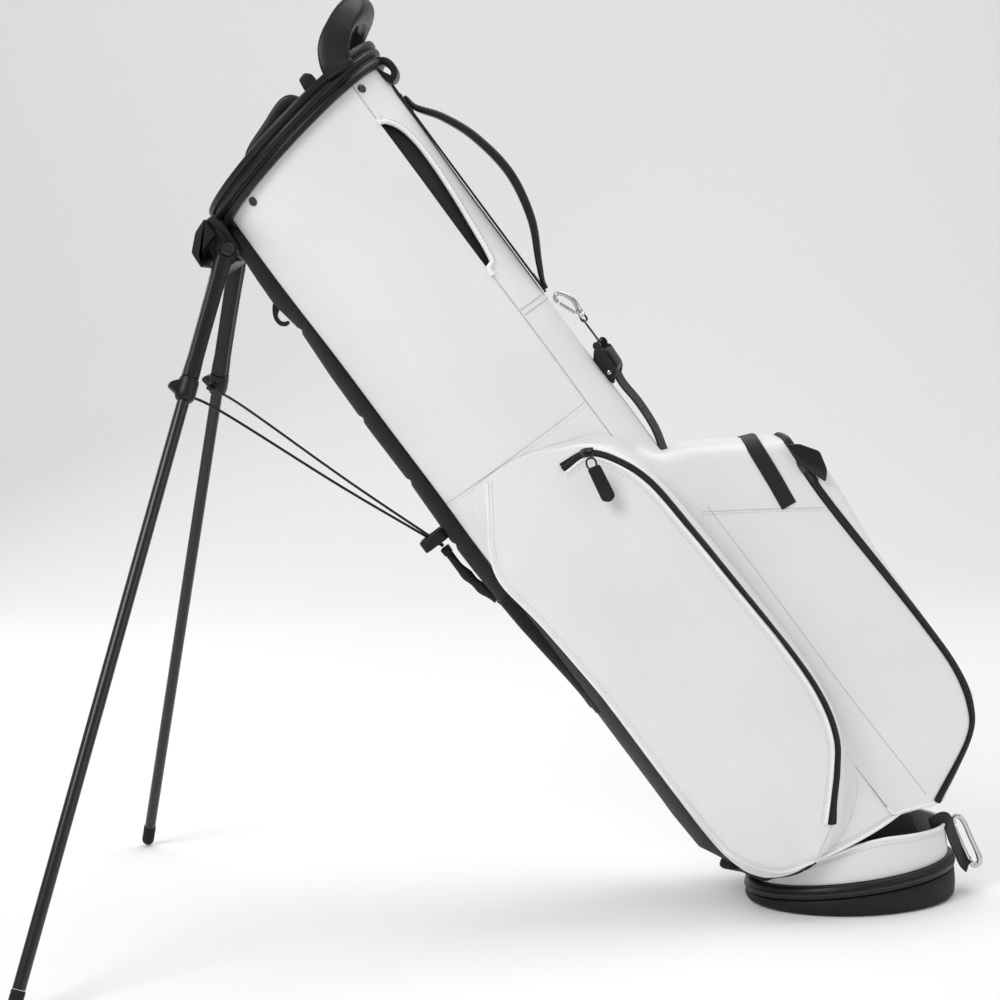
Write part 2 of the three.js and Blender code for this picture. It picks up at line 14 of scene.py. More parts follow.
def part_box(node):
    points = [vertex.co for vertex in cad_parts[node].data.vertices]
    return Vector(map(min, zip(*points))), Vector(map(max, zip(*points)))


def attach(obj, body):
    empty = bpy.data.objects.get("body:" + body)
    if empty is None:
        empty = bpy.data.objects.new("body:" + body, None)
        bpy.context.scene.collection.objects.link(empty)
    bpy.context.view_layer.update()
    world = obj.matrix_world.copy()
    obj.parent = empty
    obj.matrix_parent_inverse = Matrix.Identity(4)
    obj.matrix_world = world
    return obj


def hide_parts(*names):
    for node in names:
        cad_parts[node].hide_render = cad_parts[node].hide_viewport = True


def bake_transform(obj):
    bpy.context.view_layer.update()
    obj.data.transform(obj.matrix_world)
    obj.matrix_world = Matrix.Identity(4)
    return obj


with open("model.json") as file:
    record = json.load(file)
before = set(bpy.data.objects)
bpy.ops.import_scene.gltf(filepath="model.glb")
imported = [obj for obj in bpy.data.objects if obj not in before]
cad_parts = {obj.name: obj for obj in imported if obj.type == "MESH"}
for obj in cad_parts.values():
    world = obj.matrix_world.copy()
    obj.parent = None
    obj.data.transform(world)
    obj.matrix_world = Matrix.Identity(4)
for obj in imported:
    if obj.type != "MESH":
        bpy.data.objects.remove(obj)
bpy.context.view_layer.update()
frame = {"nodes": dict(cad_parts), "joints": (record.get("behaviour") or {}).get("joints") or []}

bl_info = {
    "name": "Golf stand bag",
    "version": (1, 0, 0),
    "blender": (4, 5, 0),
    "location": "View3D > Sidebar > Stand bag",
    "description": "Builds a leather golf stand bag with its legs, pockets, zips and hardware",
    "category": "Add Mesh",
}

JOINTS = {joint["name"]: joint for joint in frame["joints"]}
LEAN = math.radians(JOINTS["body_tilt"]["range_deg"][1])
LEG_SWING = math.radians(52.7)
SPLAY = math.radians(26.5)
SIDES = {"near": -1, "far": 1}

# Bag frame, in millimetres: v runs from the spine to the ball side, y is the depth, t runs up the bag.
MIDDLE = 8.0
WIDTH = 100.0
DEPTH = 80.0
WALL = 3.0
SPINE_SEAM = 160.0
BALL_SEAM = 44.0
CROSS_SEAM = 538.0
HEM = (65.5, -0.207)
RIM = (893.0, 0.167)
PIVOT = (-108.0, 40.0, 850.0)
YOKE = (-114.0, 4.0, 505.0)
CLAMP = (128.0, 150.0)


# ---------------------------------------------------------------- sizes and colours a user may change


def linear(code):
    """An sRGB hex colour as linear RGBA."""
    parts = [int(code[i : i + 2], 16) / 255 for i in (1, 3, 5)]
    return tuple(c / 12.92 if c <= 0.04045 else ((c + 0.055) / 1.055) ** 2.4 for c in parts) + (1.0,)


def length(name, description, millimetres):
    return FloatProperty(
        name=name, description=description, default=millimetres / 1000, unit="LENGTH", subtype="DISTANCE"
    )


def colour(name, description, code):
    return FloatVectorProperty(
        name=name, description=description, default=linear(code), size=4, subtype="COLOR", min=0, max=1
    )


class StandBagSizes(bpy.types.PropertyGroup):
    """Sizes of the sewn work."""

    piping: length("Piping radius", "Radius of the piping round the pockets", 1.7)
    # The plain seams are thin grey tubes of painted shade, standing in for the shadow in each seam's groove; this
    # is their radius.
    seam_shade_radius: length("Seam shade radius", "Radius of the folded edge in the plain seams", 0.38)
    stitch: length("Stitch length", "Length of one stitch", 2.8)
    stitch_step: length("Stitch spacing", "Distance from one stitch to the next", 4.0)
    tape: length("Zip tape width", "Width of the zip tape that shows", 6.4)
    tooth_step: length("Zip tooth spacing", "Distance from one tooth of the coil to the next", 1.9)
    voxel: length("Fabric mesh size", "Edge length of the simulated fabric", 5.0)
    swell: length("Largest swell", "How far a padded pocket may swell", 7.0)


class StandBagColours(bpy.types.PropertyGroup):
    """Colours of the main materials."""

    leather: colour("Leather", "Coated leather of the shell and pockets", "#E6E7E8")
    trim: colour("Trim", "Black fabric and webbing", "#101112")
    plastic: colour("Plastic", "Moulded collar, handle and brackets", "#141516")
    metal: colour("Metal", "Polished clips and hooks", "#C9CBCE")


def sizes():
    return bpy.context.scene.stand_bag_sizes


def mm(value):
    return value * 1000


# ---------------------------------------------------------------- points and paths


def from_bag(points):
    """Bag-frame millimetres to the row frame in metres."""
    v, y, t = np.asarray(points, float).reshape(-1, 3).T
    c, s = math.cos(LEAN), math.sin(LEAN)
    return np.stack([v * c - t * s, y, v * s + t * c], 1) / 1000


def from_ground(points):
    return np.asarray(points, float).reshape(-1, 3) / 1000


def unit(vectors):
    vectors = np.asarray(vectors, float)
    return vectors / np.maximum(np.linalg.norm(vectors, axis=-1, keepdims=True), 1e-12)


def turn_about(axis, angle):
    return np.array(Matrix.Rotation(angle, 3, axis))


def leg_to_bag(side, points):
    """The leg's own frame (z up the leg, x to the ball side, y outward) to the bag's frame."""
    points = np.asarray(points, float).reshape(-1, 3) * (1, side, 1)
    turned = points @ turn_about("Y", LEG_SWING).T @ turn_about("Z", -side * SPLAY).T
    return turned + (PIVOT[0], side * PIVOT[1], PIVOT[2])


def ease(x):
    x = np.clip(x, 0, 1)
    return x * x * (3 - 2 * x)


def smooth(points, step, closed=False):
    """Even points, about a step apart, on a smooth curve through the given ones."""
    p = np.asarray(points, float)
    ends = [p[-1:], p, p[:2]] if closed else [2 * p[:1] - p[1:2], p, 2 * p[-1:] - p[-2:-1]]
    q = np.concatenate(ends)
    u = np.linspace(0, 1, 24, endpoint=False)[:, None]
    dense = []
    for a, b, c, d in zip(q[:-3], q[1:-2], q[2:-1], q[3:]):
        bend, twist = 2 * a - 5 * b + 4 * c - d, 3 * b - a - 3 * c + d
        dense.append(0.5 * (2 * b + (c - a) * u + bend * u**2 + twist * u**3))
    dense.append(p[:1] if closed else p[-1:])
    return evenly(np.concatenate(dense), step, closed)


def evenly(points, step, closed=False):
    """Resamples a line to even steps. A closed line comes in, and leaves, without its repeated end."""
    p = np.asarray(points, float)
    if closed and np.linalg.norm(p[0] - p[-1]) > 1e-9:
        p = np.concatenate([p, p[:1]])
    along = np.concatenate([[0], np.cumsum(np.linalg.norm(np.diff(p, axis=0), axis=1))])
    count = max(2, int(round(along[-1] / step)))
    at = np.linspace(0, along[-1], count + 1)
    even = np.stack([np.interp(at, along, p[:, k]) for k in range(p.shape[1])], 1)
    return even[:-1] if closed else even


def rounded(points, radius, steps=4):
    """A closed outline with its corners rounded."""
    p = np.asarray(points, float)
    made = []
    for before, at, after in zip(np.roll(p, 1, 0), p, np.roll(p, -1, 0)):
        reach = min(radius, 0.45 * np.linalg.norm(before - at), 0.45 * np.linalg.norm(after - at))
        start = at + unit(before - at) * reach
        end = at + unit(after - at) * reach
        for u in np.linspace(0, 1, steps + 1):
            made.append((1 - u) ** 2 * start + 2 * u * (1 - u) * at + u * u * end)
    return np.array(made)


def oval(a, b, count, power=2.0):
    """A superellipse section: power 2 is an ellipse, and more is squarer."""
    angle = np.linspace(0, 2 * math.pi, count, endpoint=False)
    c, s = np.cos(angle), np.sin(angle)
    x = a * np.sign(c) * np.abs(c) ** (2 / power)
    z = b * np.sign(s) * np.abs(s) ** (2 / power)
    return np.stack([x, z], 1)


def band(width, thick, count=20):
    return oval(width / 2, thick / 2, count, 6.0)


# ---------------------------------------------------------------- meshes


class Shape:
    """Points, faces and UVs in millimetres, gathered before they become one mesh."""

    def __init__(self):
        self.points = []
        self.faces = []
        self.uvs = []

    def add(self, points, faces, uvs):
        start = sum(len(p) for p in self.points)
        self.points.append(np.asarray(points, float).reshape(-1, 3))
        self.faces += [tuple(start + i for i in face) for face in faces]
        self.uvs += uvs
        return self

    def grid(self, points, wrap=False, caps=False):
        """Rows of points; wrap closes each row, and caps closes the first and last rows."""
        rows, columns = points.shape[:2]
        loop = np.concatenate([points, points[:, :1]], 1) if wrap else points
        across = np.linalg.norm(np.diff(loop, axis=1), axis=2).mean(0)
        along = np.linalg.norm(np.diff(points, axis=0), axis=2).mean(1)
        u = np.concatenate([[0], np.cumsum(across)])
        v = np.concatenate([[0], np.cumsum(along)])
        faces, uvs = [], []
        for i in range(rows - 1):
            for j in range(columns if wrap else columns - 1):
                k = (j + 1) % columns
                faces.append((i * columns + j, i * columns + k, (i + 1) * columns + k, (i + 1) * columns + j))
                uvs.append([(u[j], v[i]), (u[j + 1], v[i]), (u[j + 1], v[i + 1]), (u[j], v[i + 1])])
        if caps:
            for row, order in ((0, range(columns - 1, -1, -1)), (rows - 1, range(columns))):
                faces.append(tuple(row * columns + j for j in order))
                uvs.append([(u[j], v[row]) for j in order])
        return self.add(points.reshape(-1, 3), faces, uvs)

    def thick(self, outer, inner):
        """A closed sheet between two grids of the same size."""
        rows, columns = outer.shape[:2]
        lines = [np.concatenate([outer[i], inner[i][::-1]]) for i in range(rows)]
        return self.grid(np.array(lines), wrap=True, caps=True)

    def sweep(self, path, section, up, closed=False, scale=None):
        """A section (side, up) carried along a path; scale multiplies it point by point."""
        path = np.asarray(path, float)
        ahead = np.roll(path, -1, 0) - np.roll(path, 1, 0)
        if not closed:
            ahead[0] = path[1] - path[0]
            ahead[-1] = path[-1] - path[-2]
        along = unit(ahead)
        side = unit(np.cross(along, np.broadcast_to(np.asarray(up, float), path.shape)))
        top = np.cross(side, along)
        wide, tall = (1.0, 1.0) if scale is None else scale
        wide = np.broadcast_to(wide, (len(path),))[:, None]
        tall = np.broadcast_to(tall, (len(path),))[:, None]
        rings = path[:, None] + side[:, None] * (section[:, 0] * wide)[..., None]
        rings = rings + top[:, None] * (section[:, 1] * tall)[..., None]
        if closed:
            rings = np.concatenate([rings, rings[:1]])
        return self.grid(rings, wrap=True, caps=not closed)

    def tube(self, path, radius, up=(0, 0, 1), closed=False, sides=12, scale=None):
        return self.sweep(path, oval(radius, radius, sides), up, closed, scale)

    def lathe(self, profile, start, along, sides=32):
        """A profile of (radius, distance) turned about the line from start along a direction."""
        along = unit(along)
        spare = (0, 0, 1) if abs(along[2]) < 0.9 else (1, 0, 0)
        side = unit(np.cross(along, spare))
        top = np.cross(along, side)
        angle = np.linspace(0, 2 * math.pi, sides, endpoint=False)[:, None]
        ring = np.cos(angle) * side + np.sin(angle) * top
        rows = [np.asarray(start, float) + along * h + ring * max(r, 0.02) for r, h in profile]
        return self.grid(np.array(rows), wrap=True, caps=True)

    def plate(self, outline, low, high, edge=1.0, steps=3):
        """An outline in (v, t), from y = low to y = high, with rounded edges."""
        flat = np.asarray(outline, float)
        out = unit(np.roll(flat, -1, 0) - np.roll(flat, 1, 0))
        normal = np.stack([out[:, 1], -out[:, 0]], 1)
        spin = np.sum(flat[:, 0] * np.roll(flat[:, 1], -1) - np.roll(flat[:, 0], -1) * flat[:, 1])
        normal = normal if spin > 0 else -normal
        turns = np.linspace(0, math.pi / 2, steps + 1)
        levels = [(edge * (1 - math.sin(a)), low + edge * (1 - math.cos(a))) for a in turns]
        levels += [(edge * (1 - math.cos(a)), high - edge * (1 - math.sin(a))) for a in turns]
        rings = []
        for inset, y in levels:
            ring = flat - normal * inset
            rings.append(np.stack([ring[:, 0], np.full(len(ring), y), ring[:, 1]], 1))
        return self.grid(np.array(rings), wrap=True, caps=True)

    def mirrored(self):
        """The same shape with its y turned over."""
        twin = Shape()
        twin.points = [p * (1, -1, 1) for p in self.points]
        twin.faces = [face[::-1] for face in self.faces]
        twin.uvs = [uv[::-1] for uv in self.uvs]
        return twin

    def join(self, other):
        return self.add(np.concatenate(other.points), other.faces, other.uvs)

    def both(self):
        return self.join(self.mirrored())


def new_object(name, mesh):
    made = bpy.data.objects.new(name, mesh)
    bpy.context.scene.collection.objects.link(made)
    return made


def to_mesh(name, shape, place, sharp=40):
    mesh = bpy.data.meshes.new(name)
    mesh.from_pydata(place(np.concatenate(shape.points)).tolist(), [], shape.faces)
    layer = mesh.uv_layers.new(name="UVMap")
    layer.data.foreach_set("uv", np.array([c for face in shape.uvs for uv in face for c in uv], np.float32))
    work = bmesh.new()
    work.from_mesh(mesh)
    bmesh.ops.recalc_face_normals(work, faces=work.faces)
    work.to_mesh(mesh)
    work.free()
    mesh.shade_smooth()
    mesh.set_sharp_from_angle(angle=math.radians(sharp))
    return mesh


def settle(piece, body, replaces=()):
    """Every finished piece rides on its body, and hides the nodes that it stands for."""
    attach(piece, body)
    if replaces:
        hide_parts(*replaces)
    return piece


def make(name, shape, finish_name, body, replaces=(), place=from_bag, sharp=40):
    piece = new_object(name, to_mesh(name, shape, place, sharp))
    piece.data.materials.append(finish(finish_name))
    return settle(piece, body, replaces)


def evaluated(piece):
    """The mesh that a piece's modifiers give, as plain data."""
    bpy.context.view_layer.update()
    seen = piece.evaluated_get(bpy.context.evaluated_depsgraph_get())
    return bpy.data.meshes.new_from_object(seen)


def coordinates(mesh):
    flat = np.empty(len(mesh.vertices) * 3)
    mesh.vertices.foreach_get("co", flat)
    return flat.reshape(-1, 3)


def to_bag(points):
    x, y, z = np.asarray(points, float).T * 1000
    return np.stack([x * math.cos(LEAN) + z * math.sin(LEAN), y, z * math.cos(LEAN) - x * math.sin(LEAN)], 1)


class Surface:
    """A finished skin that seams, piping and zips are laid on, all in the bag's frame."""

    def __init__(self, mesh):
        points = to_bag(coordinates(mesh))
        self.tree = BVHTree.FromPolygons(points.tolist(), [tuple(p.vertices) for p in mesh.polygons])

    def cast(self, starts, direction, lift=0.0):
        """Where rays meet the skin, raised by lift; a ray that misses takes the nearest point instead."""
        spots, facings = [], []
        for start in np.asarray(starts, float):
            spot, facing, _, _ = self.tree.ray_cast(Vector(start), Vector(direction), 400)
            if spot is None:
                spot, facing, _, _ = self.tree.find_nearest(Vector(start))
            facing = facing if facing.dot(Vector(direction)) < 0 else -facing
            spots.append(spot)
            facings.append(facing)
        facings = soften(unit(np.array(facings)), 3)
        return np.array(spots) + facings * lift, facings

    def from_side(self, line, side=-1, lift=0.0):
        """A line of (v, t) laid on the near or far face."""
        line = np.asarray(line, float)
        starts = np.stack([line[:, 0], np.full(len(line), side * 200.0), line[:, 1]], 1)
        spots, facings = self.cast(starts, (0, -side, 0), lift)
        spots[:, 1] = soften(spots[:, 1:2], 2)[:, 0]
        return spots, facings


def soften(values, passes):
    values = np.array(values, float)
    for _ in range(passes):
        values[1:-1] = (values[:-2] + 2 * values[1:-1] + values[2:]) / 4
    return values


# ---------------------------------------------------------------- node trees


def add_node(tree, kind, inputs=None, **settings):
    """Adds a node with its settings; an input is a value or another node's socket."""
    made = tree.nodes.new(kind)
    for name, value in settings.items():
        setattr(made, name, value)
    for key, value in (inputs or {}).items():
        socket = made.inputs[key]
        if isinstance(value, bpy.types.NodeSocket):
            tree.links.new(value, socket)
        else:
            socket.default_value = value
    return made


def repeat_tree():
    """Geometry Nodes: copies of a small piece at even steps along a path, facing the way its points face."""
    name = "repeat_along_path"
    if name in bpy.data.node_groups:
        return bpy.data.node_groups[name]
    tree = bpy.data.node_groups.new(name, "GeometryNodeTree")
    sockets = (
        ("Path", "NodeSocketGeometry"),
        ("Spacing", "NodeSocketFloat"),
        ("Piece", "NodeSocketObject"),
        ("Finish", "NodeSocketMaterial"),
        ("Unevenness", "NodeSocketFloat"),
        ("Seed", "NodeSocketInt"),
    )
    for label, kind in sockets:
        tree.interface.new_socket(label, in_out="INPUT", socket_type=kind)
    tree.interface.new_socket("Geometry", in_out="OUTPUT", socket_type="NodeSocketGeometry")
    given = add_node(tree, "NodeGroupInput").outputs
    curve = add_node(tree, "GeometryNodeMeshToCurve", {"Mesh": given["Path"]})
    even = add_node(
        tree, "GeometryNodeResampleCurve", {"Curve": curve.outputs[0], "Length": given["Spacing"]}, mode="LENGTH"
    )
    tangent = add_node(tree, "GeometryNodeInputTangent")
    facing = add_node(tree, "GeometryNodeInputNamedAttribute", {"Name": "facing"}, data_type="FLOAT_VECTOR")
    ahead = add_node(tree, "FunctionNodeAlignRotationToVector", {"Vector": tangent.outputs[0]}, axis="X")
    turned = add_node(
        tree,
        "FunctionNodeAlignRotationToVector",
        {"Rotation": ahead.outputs[0], "Vector": facing.outputs[0]},
        axis="Z",
        pivot_axis="X",
    )
    least = add_node(tree, "ShaderNodeMath", {0: 1.0, 1: given["Unevenness"]}, operation="SUBTRACT")
    most = add_node(tree, "ShaderNodeMath", {0: 1.0, 1: given["Unevenness"]}, operation="ADD")
    size = add_node(
        tree,
        "FunctionNodeRandomValue",
        {2: least.outputs[0], 3: most.outputs[0], "Seed": given["Seed"]},
        data_type="FLOAT",
    )
    piece = add_node(tree, "GeometryNodeObjectInfo", {"Object": given["Piece"]}, transform_space="ORIGINAL")
    copies = add_node(
        tree,
        "GeometryNodeInstanceOnPoints",
        {
            "Points": even.outputs[0],
            "Instance": piece.outputs["Geometry"],
            "Rotation": turned.outputs[0],
            "Scale": size.outputs[1],
        },
    )
    real = add_node(tree, "GeometryNodeRealizeInstances", {0: copies.outputs[0]})
    coloured = add_node(
        tree, "GeometryNodeSetMaterial", {"Geometry": real.outputs[0], "Material": given["Finish"]}
    )
    add_node(tree, "NodeGroupOutput", {0: coloured.outputs[0]})
    return tree


def small_piece(name, shape):
    """A small part at the origin, in metres, that the repeats copy."""
    return new_object(name, to_mesh(name, shape, from_ground, 60))


def stitch_piece(stitch_length, thick):
    ends = np.linspace(-1, 1, 7)
    path = np.stack([ends * stitch_length / 2, np.zeros(7), -0.25 * ends**2 * thick * 2], 1)
    fat = np.sqrt(np.maximum(1 - (0.96 * ends) ** 2, 0.02)) ** 0.5
    return small_piece("stitch", Shape().tube(path, thick / 2, sides=6, scale=(fat, fat)))


def repeated(name, lines, piece, spacing, finish_name, body, uneven=0.0, place=from_bag):
    """Copies of a piece along lines of (points, facings), as one plain mesh on one body."""
    points = np.concatenate([line for line, _ in lines])
    facings = np.concatenate([face for _, face in lines])
    edges, start = [], 0
    for line, _ in lines:
        edges += [(start + i, start + i + 1) for i in range(len(line) - 1)]
        start += len(line)
    mesh = bpy.data.meshes.new(name)
    mesh.from_pydata(place(points).tolist(), edges, [])
    turned = unit(place(points + facings) - place(points))
    attribute = mesh.attributes.new("facing", "FLOAT_VECTOR", "POINT")
    attribute.data.foreach_set("vector", turned.astype(np.float32).ravel())
    path = new_object(name, mesh)
    modifier = path.modifiers.new("repeat", "NODES")
    modifier.node_group = repeat_tree()
    chosen = {"Spacing": spacing, "Piece": piece, "Finish": finish(finish_name), "Unevenness": uneven, "Seed": 7}
    for item in modifier.node_group.interface.items_tree:
        if item.in_out == "INPUT" and item.name in chosen:
            modifier[item.identifier] = chosen[item.name]
    made = evaluated(path)
    path.modifiers.clear()
    path.data = made
    made.shade_smooth()
    bpy.data.meshes.remove(mesh)
    return settle(path, body)


def discard(piece):
    mesh = piece.data
    bpy.data.objects.remove(piece)
    bpy.data.meshes.remove(mesh)


# ---------------------------------------------------------------- finishes


def finish(name):
    return bpy.data.materials.get(name) or FINISHES[name](name)


def new_material(name, base, roughness, metallic=0.0, **shader_inputs):
    """A Principled material; the caller adds the nodes for its own surface."""
    material = bpy.data.materials.new(name)
    material.use_nodes = True
    shader = material.node_tree.nodes["Principled BSDF"]
    shader.inputs["Base Color"].default_value = base
    shader.inputs["Roughness"].default_value = roughness
    shader.inputs["Metallic"].default_value = metallic
    for key, value in shader_inputs.items():
        shader.inputs[key.replace("_", " ")].default_value = value
    material.diffuse_color = base
    return material, material.node_tree, shader


def place_of(tree, use_uv=False):
    """Object coordinates in metres, or the sewn pieces' UVs in millimetres."""
    found = add_node(tree, "ShaderNodeTexCoord")
    return found.outputs["UV" if use_uv else "Object"]


def vary_colour(tree, shader, place, base, other, scale, share):
    """Mixes a second colour in by a slow noise."""
    cloud = add_node(tree, "ShaderNodeTexNoise", {"Vector": place, "Scale": scale, "Detail": 3.0})
    amount = add_node(
        tree, "ShaderNodeMapRange", {"Value": cloud.outputs[0], "From Min": 0.35, "From Max": 0.7, "To Max": share}
    )
    mixed = add_node(
        tree, "ShaderNodeMix", {0: amount.outputs[0], 6: base, 7: other}, data_type="RGBA", blend_type="MIX"
    )
    tree.links.new(mixed.outputs[2], shader.inputs["Base Color"])
    return mixed


def vary_roughness(tree, shader, place, scale, low, high):
    cloud = add_node(tree, "ShaderNodeTexNoise", {"Vector": place, "Scale": scale, "Detail": 4.0})
    spread = add_node(tree, "ShaderNodeMapRange", {"Value": cloud.outputs[0], "To Min": low, "To Max": high})
    tree.links.new(spread.outputs[0], shader.inputs["Roughness"])


def raise_surface(tree, shader, height, distance, strength=1.0, under=None):
    inputs = {"Height": height, "Distance": distance, "Strength": strength}
    if under:
        inputs["Normal"] = under
    bump = add_node(tree, "ShaderNodeBump", inputs)
    tree.links.new(bump.outputs[0], shader.inputs["Normal"])
    return bump.outputs[0]


def coated_leather(name):
    """Polyurethane-coated leather, embossed with a fine pebble: an even white with a soft satin gloss."""
    base = tuple(bpy.context.scene.stand_bag_colours.leather)
    material, tree, shader = new_material(name, base, 0.45, Coat_Weight=0.12, Coat_Roughness=0.35)
    place = place_of(tree)
    vary_colour(tree, shader, place, base, linear("#DEDFE0"), 9.0, 0.6)
    vary_roughness(tree, shader, place, 60.0, 0.38, 0.52)
    pebble_mm = 1.1
    cells = add_node(
        tree, "ShaderNodeTexVoronoi", {"Vector": place, "Scale": 1000 / pebble_mm}, feature="SMOOTH_F1"
    )
    slow = add_node(tree, "ShaderNodeTexNoise", {"Vector": place, "Scale": 22.0, "Detail": 2.0})
    broad = raise_surface(tree, shader, slow.outputs[0], 0.003, 0.25)
    raise_surface(tree, shader, cells.outputs["Distance"], 0.00012, 0.5, broad)
    return material


def piping_vinyl(name):
    """Smooth vinyl drawn over cord: whiter and glossier than the leather beside it."""
    base = linear("#F2F3F4")
    material, tree, shader = new_material(name, base, 0.32, Coat_Weight=0.2, Coat_Roughness=0.25)
    place = place_of(tree)
    vary_colour(tree, shader, place, base, linear("#E6E7E9"), 40.0, 0.5)
    fine = add_node(tree, "ShaderNodeTexNoise", {"Vector": place, "Scale": 900.0})
    raise_surface(tree, shader, fine.outputs[0], 0.0001, 0.3)
    return material


def painted_seam_shade(name):
    """Painted shade for the seam grooves: a dull grey on thin tubes that stands in for the shadow in each seam,
    with slight colour noise and a fine bump.
    """
    base = linear("#C6C8CA")
    material, tree, shader = new_material(name, base, 0.7)
    place = place_of(tree)
    vary_colour(tree, shader, place, base, linear("#B4B6B8"), 160.0, 0.7)
    fine_noise = add_node(tree, "ShaderNodeTexNoise", {"Vector": place, "Scale": 1500.0})
    raise_surface(tree, shader, fine_noise.outputs[0], 0.0001, 0.4)
    return material


def basket_weave(tree, place, threads_per_unit):
    """Height of a plain weave: the warp shows on one set of squares, the weft on the other."""
    warp = add_node(
        tree, "ShaderNodeTexWave", {"Vector": place, "Scale": threads_per_unit / 20 * 6.2832}, bands_direction="X"
    )
    weft = add_node(
        tree, "ShaderNodeTexWave", {"Vector": place, "Scale": threads_per_unit / 20 * 6.2832}, bands_direction="Y"
    )
    squares = add_node(tree, "ShaderNodeTexChecker", {"Vector": place, "Scale": threads_per_unit})
    mixed = add_node(
        tree, "ShaderNodeMix", {0: squares.outputs["Fac"], 2: warp.outputs["Fac"], 3: weft.outputs["Fac"]}
    )
    return mixed.outputs[0]


def woven_nylon(name):
    """Ballistic nylon, plain woven: threads 0.8 mm across, matt, with a faint nap."""
    base = tuple(bpy.context.scene.stand_bag_colours.trim)
    material, tree, shader = new_material(
        name, base, 0.8, Sheen_Weight=0.15, Specular_IOR_Level=0.3, Sheen_Roughness=0.5
    )
    weave = basket_weave(tree, place_of(tree, True), 1 / 0.8)
    shade = add_node(
        tree, "ShaderNodeMix", {0: weave, 6: linear("#0B0C0D"), 7: linear("#1A1B1D")}, data_type="RGBA"
    )
    tree.links.new(shade.outputs[2], shader.inputs["Base Color"])
    vary_roughness(tree, shader, place_of(tree), 30.0, 0.7, 0.88)
    raise_surface(tree, shader, weave, 0.0003, 0.6)
    return material


def ribbed_webbing(name):
    """Polypropylene webbing: cross ribs 1.6 mm apart over lengthwise cords."""
    material, tree, shader = new_material(
        name, linear("#101112"), 0.62, Sheen_Weight=0.1, Specular_IOR_Level=0.3
    )
    place = place_of(tree, True)
    ribs = add_node(tree, "ShaderNodeTexWave", {"Vector": place, "Scale": 0.31416 / 1.6}, bands_direction="Y")
    cords = add_node(tree, "ShaderNodeTexWave", {"Vector": place, "Scale": 0.31416 / 1.0}, bands_direction="X")
    height = add_node(tree, "ShaderNodeMath", {0: ribs.outputs[1], 1: cords.outputs[1]}, operation="ADD")
    shade = add_node(
        tree, "ShaderNodeMix", {0: ribs.outputs[1], 6: linear("#0C0D0E"), 7: linear("#202224")}, data_type="RGBA"
    )
    tree.links.new(shade.outputs[2], shader.inputs["Base Color"])
    raise_surface(tree, shader, height.outputs[0], 0.0004, 0.5)
    return material


def spacer_mesh(name):
    """Knitted spacer mesh over foam: rows of 2.4 mm eyelets in matt black."""
    material, tree, shader = new_material(
        name, linear("#101112"), 0.85, Sheen_Weight=0.1, Specular_IOR_Level=0.3
    )
    eyes = add_node(
        tree,
        "ShaderNodeTexVoronoi",
        {"Vector": place_of(tree, True), "Scale": 1 / 2.4, "Randomness": 0.12},
        voronoi_dimensions="2D",
    )
    depth = add_node(
        tree, "ShaderNodeMapRange", {"Value": eyes.outputs["Distance"], "From Min": 0.15, "From Max": 0.4}
    )
    shade = add_node(
        tree, "ShaderNodeMix", {0: depth.outputs[0], 6: linear("#050606"), 7: linear("#161718")}, data_type="RGBA"
    )
    tree.links.new(shade.outputs[2], shader.inputs["Base Color"])
    raise_surface(tree, shader, depth.outputs[0], 0.0008, 0.7)
    return material


def moulded_plastic(name):
    """Injection-moulded nylon, spark-eroded tool: a fine even texture with a satin gloss."""
    base = tuple(bpy.context.scene.stand_bag_colours.plastic)
    material, tree, shader = new_material(name, base, 0.4, IOR=1.52, Specular_IOR_Level=0.3)
    place = place_of(tree)
    vary_colour(tree, shader, place, base, linear("#1D1E20"), 45.0, 0.5)
    vary_roughness(tree, shader, place, 120.0, 0.32, 0.46)
    grit = add_node(tree, "ShaderNodeTexNoise", {"Vector": place, "Scale": 1800.0, "Detail": 2.0})
    raise_surface(tree, shader, grit.outputs[0], 0.00012, 0.35)
    return material


def gloss_plastic(name):
    """Polished acetal: deep black with a sharp highlight and light handling marks."""
    material, tree, shader = new_material(name, linear("#101113"), 0.24, IOR=1.48)
    place = place_of(tree)
    vary_roughness(tree, shader, place, 200.0, 0.14, 0.3)
    marks = add_node(tree, "ShaderNodeTexNoise", {"Vector": place, "Scale": 350.0, "Detail": 5.0})
    raise_surface(tree, shader, marks.outputs[0], 0.00005, 0.25)
    return material


def black_leather(name):
    """Full-grain leather, dyed black and finished with wax: small irregular grain, semi-gloss."""
    material, tree, shader = new_material(
        name, linear("#111213"), 0.42, Coat_Weight=0.1, Specular_IOR_Level=0.3, Coat_Roughness=0.3
    )
    place = place_of(tree)
    vary_colour(tree, shader, place, linear("#111213"), linear("#1C1D1F"), 90.0, 0.6)
    grain = add_node(
        tree, "ShaderNodeTexVoronoi", {"Vector": place, "Scale": 1100.0}, feature="DISTANCE_TO_EDGE"
    )
    raise_surface(tree, shader, grain.outputs["Distance"], 0.00015, 0.5)
    return material


def soft_rubber(name):
    """Moulded rubber: matt charcoal with a dusty bloom and a slight orange-peel."""
    material, tree, shader = new_material(name, linear("#121314"), 0.62, Specular_IOR_Level=0.3)
    place = place_of(tree)
    vary_colour(tree, shader, place, linear("#111213"), linear("#1D1E20"), 35.0, 0.6)
    vary_roughness(tree, shader, place, 70.0, 0.5, 0.72)
    peel = add_node(tree, "ShaderNodeTexNoise", {"Vector": place, "Scale": 650.0, "Detail": 3.0})
    raise_surface(tree, shader, peel.outputs[0], 0.0002, 0.35)
    return material


